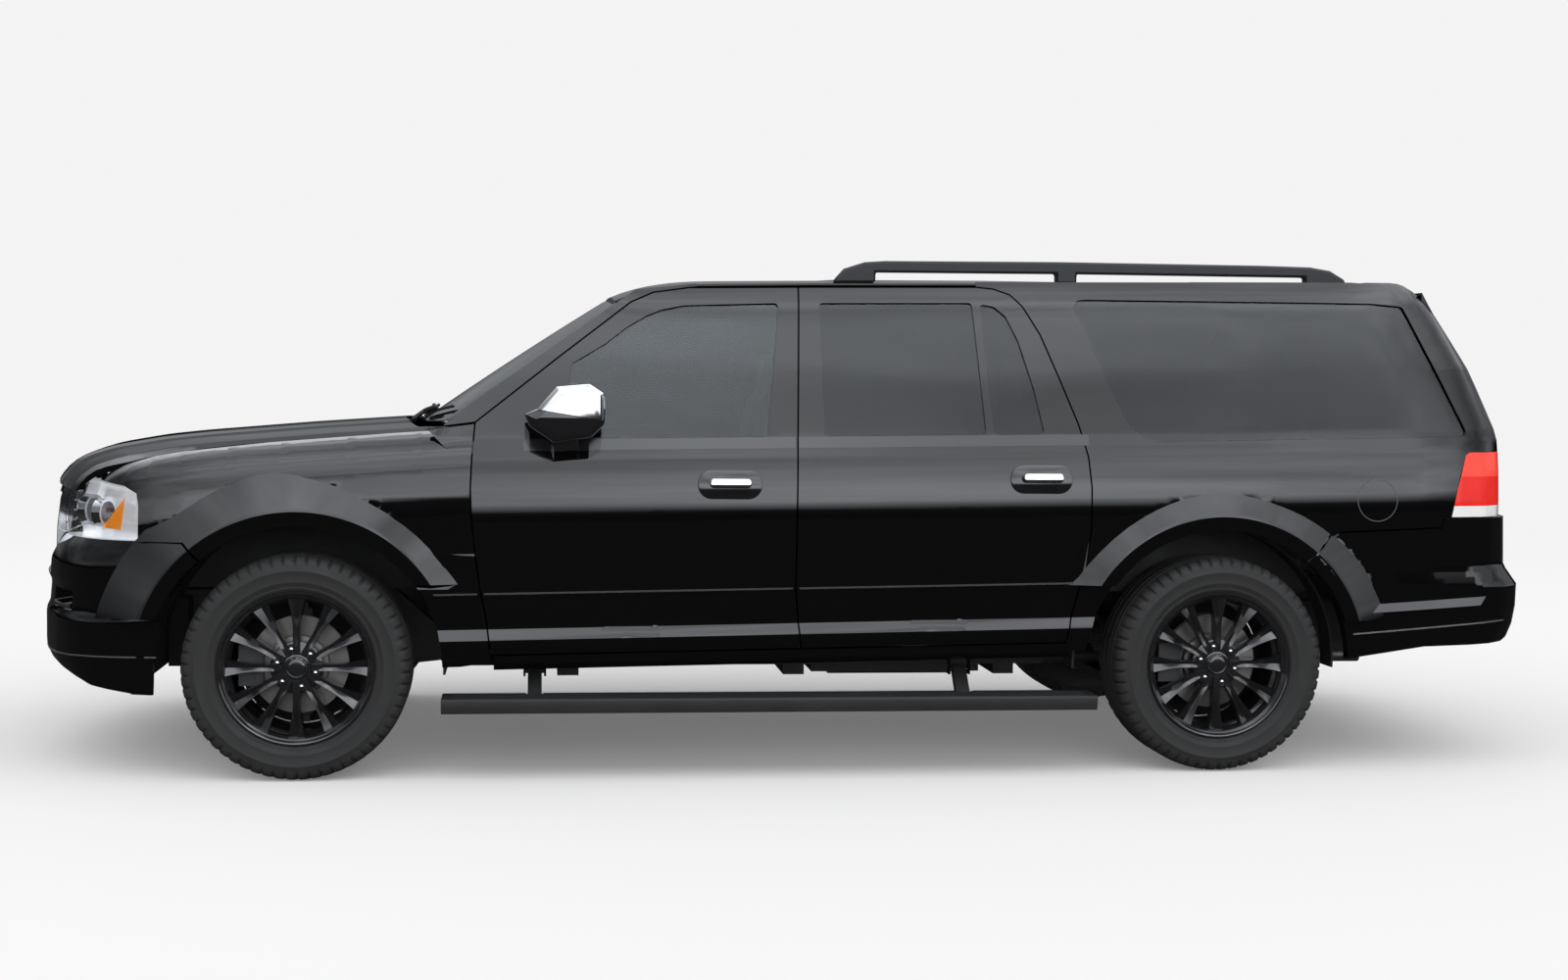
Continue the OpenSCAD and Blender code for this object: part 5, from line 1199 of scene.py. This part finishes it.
class VEHICLE_OT_seats(bpy.types.Operator):
    """Builds the padded seats on their bases"""
    bl_idname = "vehicle.seats"
    bl_label = "Seats"

    def execute(self, context):
        for node in ("front_seats", "middle_seats", "rear_seats"):
            split = (0, 0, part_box(node)[1].z - PAD_HEIGHT)
            bases, pads = bmesh_of(node), bmesh_of(node)
            cut_off(bases, split, (0, 0, 1))
            new_piece(node + "_bases", bases, "body", ["moulded_plastic"], "seat_cover", [node])
            cut_off(pads, split, (0, 0, -1))
            cut(pads, (0, 0, 0), (0, 1, 0), True)
            left = pad_out(mesh_of(node + "_pad", pads))
            both = bmesh.new()
            both.from_mesh(left)
            both.from_mesh(mirrored(left, "other_pad"))
            obj = new_piece(node + "_pads", both, "body", ["seat_cloth"], "seat_cover", angle=60)
        return {"FINISHED"}


class VEHICLE_OT_inner_parts(bpy.types.Operator):
    """Gives the cabin, engine bay and underbody their finishes"""
    bl_idname = "vehicle.inner_parts"
    bl_label = "Cabin and underbody"

    SHOWN = {
        "cabin_vinyl": ("dashboard",),
        "underbody_coat": ("frame_rails", "cross_members", "hitch_receiver", "floor_pan", "front_structure",
                           "wheel_liners", "splash_shields", "fuel_tank", "step_arms_left", "step_arms_right"),
        "bare_steel": ("exhaust",),
        "cast_iron": ("engine", "driveline", "suspension_arms", "knuckle_left", "knuckle_right")}

    def execute(self, context):
        for name, nodes in self.SHOWN.items():
            for node in nodes:
                materials = frame["nodes"][node].data.materials
                materials.clear()
                materials.append(finish(name))
        return {"FINISHED"}


class VEHICLE_OT_stage(bpy.types.Operator):
    """Sets the floor, the soft light and the camera"""
    bl_idname = "vehicle.stage"
    bl_label = "Stage"

    FLOOR_HALF = 60
    BACKDROP = (0.908, 0.897, 0.902, 1)
    # The floor turns to the backdrop between these distances
    FADE_NEAR, FADE_FAR = 5.0, 13.0
    # Brightness by height above the horizon: even light, and the sky that gloss mirrors
    SOFT_SKY = ((0.0, 0.85), (1.0, 1.05))
    MIRROR_SKY = (
        (0.0, 0.01), (0.03, 0.05), (0.07, 2.6), (0.13, 2.9), (0.25, 2.0), (0.45, 2.2), (0.70, 3.0), (1.0, 1.6))
    MIRROR_BLUE = 0.04
    # A colour ramp holds no more than 1, so it takes this share of a brightness
    RAMP_SHARE = 0.25
    CLOUD_DIM, CLOUD_BRIGHT = 0.65, 1.35
    # Camera fitted to the photograph: place, turn in degrees (yaw, pitch, roll), lens and sensor in millimetres
    CAMERA_AT, CAMERA_TURN, LENS, SENSOR = (-1.0, -8.0, 1.4), (7.221, 2.996, 0.786), 45.69, 36.0

    def execute(self, context):
        scene = context.scene
        bm = bmesh.new()
        bmesh.ops.create_grid(bm, x_segments=1, y_segments=1, size=self.FLOOR_HALF)
        mesh = mesh_of("studio_floor", bm)
        floor = bpy.data.objects.new("studio_floor", mesh)
        scene.collection.objects.link(floor)
        mesh.materials.append(self.floor_finish(scene.vehicle_finish.floor))
        self.set_world(scene)
        self.set_camera(scene)
        scene.view_settings.view_transform = "Standard"
        return {"FINISHED"}

    def floor_finish(self, level):
        """Paper that glows a little, so that the shadow stays soft; it is dark in the car's own reflections"""
        material = finish("floor_paper", (level, level, level))
        tree = material.node_tree
        shader = tree.nodes["Principled BSDF"]
        glossy = add_node(tree, "LightPath").outputs["Is Glossy Ray"]
        place = add_node(tree, "TexCoord").outputs["Object"]
        reach = add_node(tree, "VectorMath", {"operation": "LENGTH"}, Vector=place).outputs["Value"]
        far = spread(tree, reach, self.FADE_NEAR, self.FADE_FAR, 0.0, 1.0)
        paper = shader.inputs["Base Color"].links[0].from_socket
        glow = 0.945 - level * 0.97
        for socket, near, away, dark in (("Base Color", paper, (0, 0, 0, 1), 0.03),
                                         ("Emission Color", (glow, glow, glow, 1), self.BACKDROP, 0.0)):
            fade = mixed(tree, far, near, away)
            feed(tree, shader.inputs[socket], mixed(tree, glossy, fade, (dark, dark, dark, 1)))
        return material

    def sky_ramp(self, tree, height, stops, blue):
        """Colour by height above the horizon"""
        ramp = add_node(tree, "ValToRGB", Fac=height)
        elements = ramp.color_ramp.elements
        while len(elements) < len(stops):
            elements.new(0.5)
        for element, (position, value) in zip(elements, stops):
            value *= self.RAMP_SHARE
            element.position = position
            element.color = (value * (1 - blue), value, value * (1 + 1.5 * blue), 1)
        return ramp.outputs["Color"]

    def set_world(self, scene):
        """A plain backdrop for the camera, a clouded sky for gloss and even light for the rest"""
        world = bpy.data.worlds.new("studio")
        scene.world = world
        world.use_nodes = True
        tree = world.node_tree
        place = add_node(tree, "TexCoord").outputs["Generated"]
        x, y, z = add_node(tree, "SeparateXYZ", Vector=place).outputs
        soft = self.sky_ramp(tree, z, self.SOFT_SKY, 0.0)
        mirror = self.sky_ramp(tree, z, self.MIRROR_SKY, self.MIRROR_BLUE)
        squeeze = add_node(tree, "Mapping", Vector=place, Scale=(1.0, 1.0, 3.0))
        clouds = add_node(tree, "TexNoise", Vector=squeeze.outputs["Vector"], Scale=2.6, Detail=5.0)
        swing = spread(tree, clouds.outputs["Fac"], 0.3, 0.7, self.CLOUD_DIM / self.RAMP_SHARE,
                       self.CLOUD_BRIGHT / self.RAMP_SHARE)
        low = add_node(tree, "Math", {"operation": "MULTIPLY_ADD"})
        for socket, value in zip(low.inputs, (z, -1.7, y)):
            feed(tree, socket, value)
        soft = scaled(tree, soft, spread(tree, y, -0.5, 0.5, 1.5, 0.5))
        # The mirrored sky is dim low on the far side, ahead and behind
        for factor in (spread(tree, low.outputs["Value"], -0.1, 0.4, 1.0, 0.10),
                       spread(tree, x, -0.75, -0.25, 0.12, 1.0), spread(tree, x, 0.55, 0.9, 1.0, 0.25)):
            mirror = scaled(tree, mirror, factor)
        rays = add_node(tree, "LightPath").outputs
        sky = scaled(tree, mixed(tree, rays["Is Glossy Ray"], soft, mirror), swing)
        back = tree.nodes["Background"].inputs
        feed(tree, back["Color"], mixed(tree, rays["Is Camera Ray"], sky, self.BACKDROP))
        back["Strength"].default_value = scene.vehicle_finish.sky

    def set_camera(self, scene):
        yaw, pitch, roll = (math.radians(a) for a in self.CAMERA_TURN)
        ahead = Vector((math.sin(yaw), math.cos(yaw), 0))
        right = Vector((math.cos(yaw), -math.sin(yaw), 0))
        forward = ahead * math.cos(pitch) - UPWARD * math.sin(pitch)
        top = UPWARD * math.cos(pitch) + ahead * math.sin(pitch)
        across = right * math.cos(roll) + top * math.sin(roll)
        over = top * math.cos(roll) - right * math.sin(roll)
        data = bpy.data.cameras.new("photo_camera")
        data.lens = self.LENS
        data.sensor_width = self.SENSOR
        camera = bpy.data.objects.new("photo_camera", data)
        matrix = Matrix((across, over, -forward)).transposed().to_4x4()
        matrix.translation = self.CAMERA_AT
        camera.matrix_world = matrix
        scene.collection.objects.link(camera)
        scene.camera = camera


class VEHICLE_PT_panel(bpy.types.Panel):
    """Lists the build steps in the sidebar"""
    bl_idname = "VEHICLE_PT_panel"
    bl_label = "Vehicle"
    bl_space_type = "VIEW_3D"
    bl_region_type = "UI"
    bl_category = "Vehicle"

    def draw(self, context):
        for group in (context.scene.vehicle_finish, context.scene.vehicle_sizes):
            for name in group.__annotations__:
                self.layout.prop(group, name)
        for step in STEPS:
            self.layout.operator(step.bl_idname)


STEPS = (
    VEHICLE_OT_stage, VEHICLE_OT_side_panels, VEHICLE_OT_flares, VEHICLE_OT_top_panels, VEHICLE_OT_bumpers,
    VEHICLE_OT_glazing, VEHICLE_OT_wheels, VEHICLE_OT_lamps, VEHICLE_OT_fittings, VEHICLE_OT_side_trim,
    VEHICLE_OT_seats, VEHICLE_OT_inner_parts)
CLASSES = (FinishSettings, SizeSettings) + STEPS + (VEHICLE_PT_panel,)


def register():
    for cls in CLASSES:
        bpy.utils.register_class(cls)
    bpy.types.Scene.vehicle_finish = PointerProperty(type=FinishSettings)
    bpy.types.Scene.vehicle_sizes = PointerProperty(type=SizeSettings)


def unregister():
    del bpy.types.Scene.vehicle_sizes
    del bpy.types.Scene.vehicle_finish
    for cls in reversed(CLASSES):
        bpy.utils.unregister_class(cls)


def main():
    register()
    for step in STEPS:
        group, name = step.bl_idname.split(".")
        getattr(getattr(bpy.ops, group), name)()


if __name__ == "__main__":
    main()
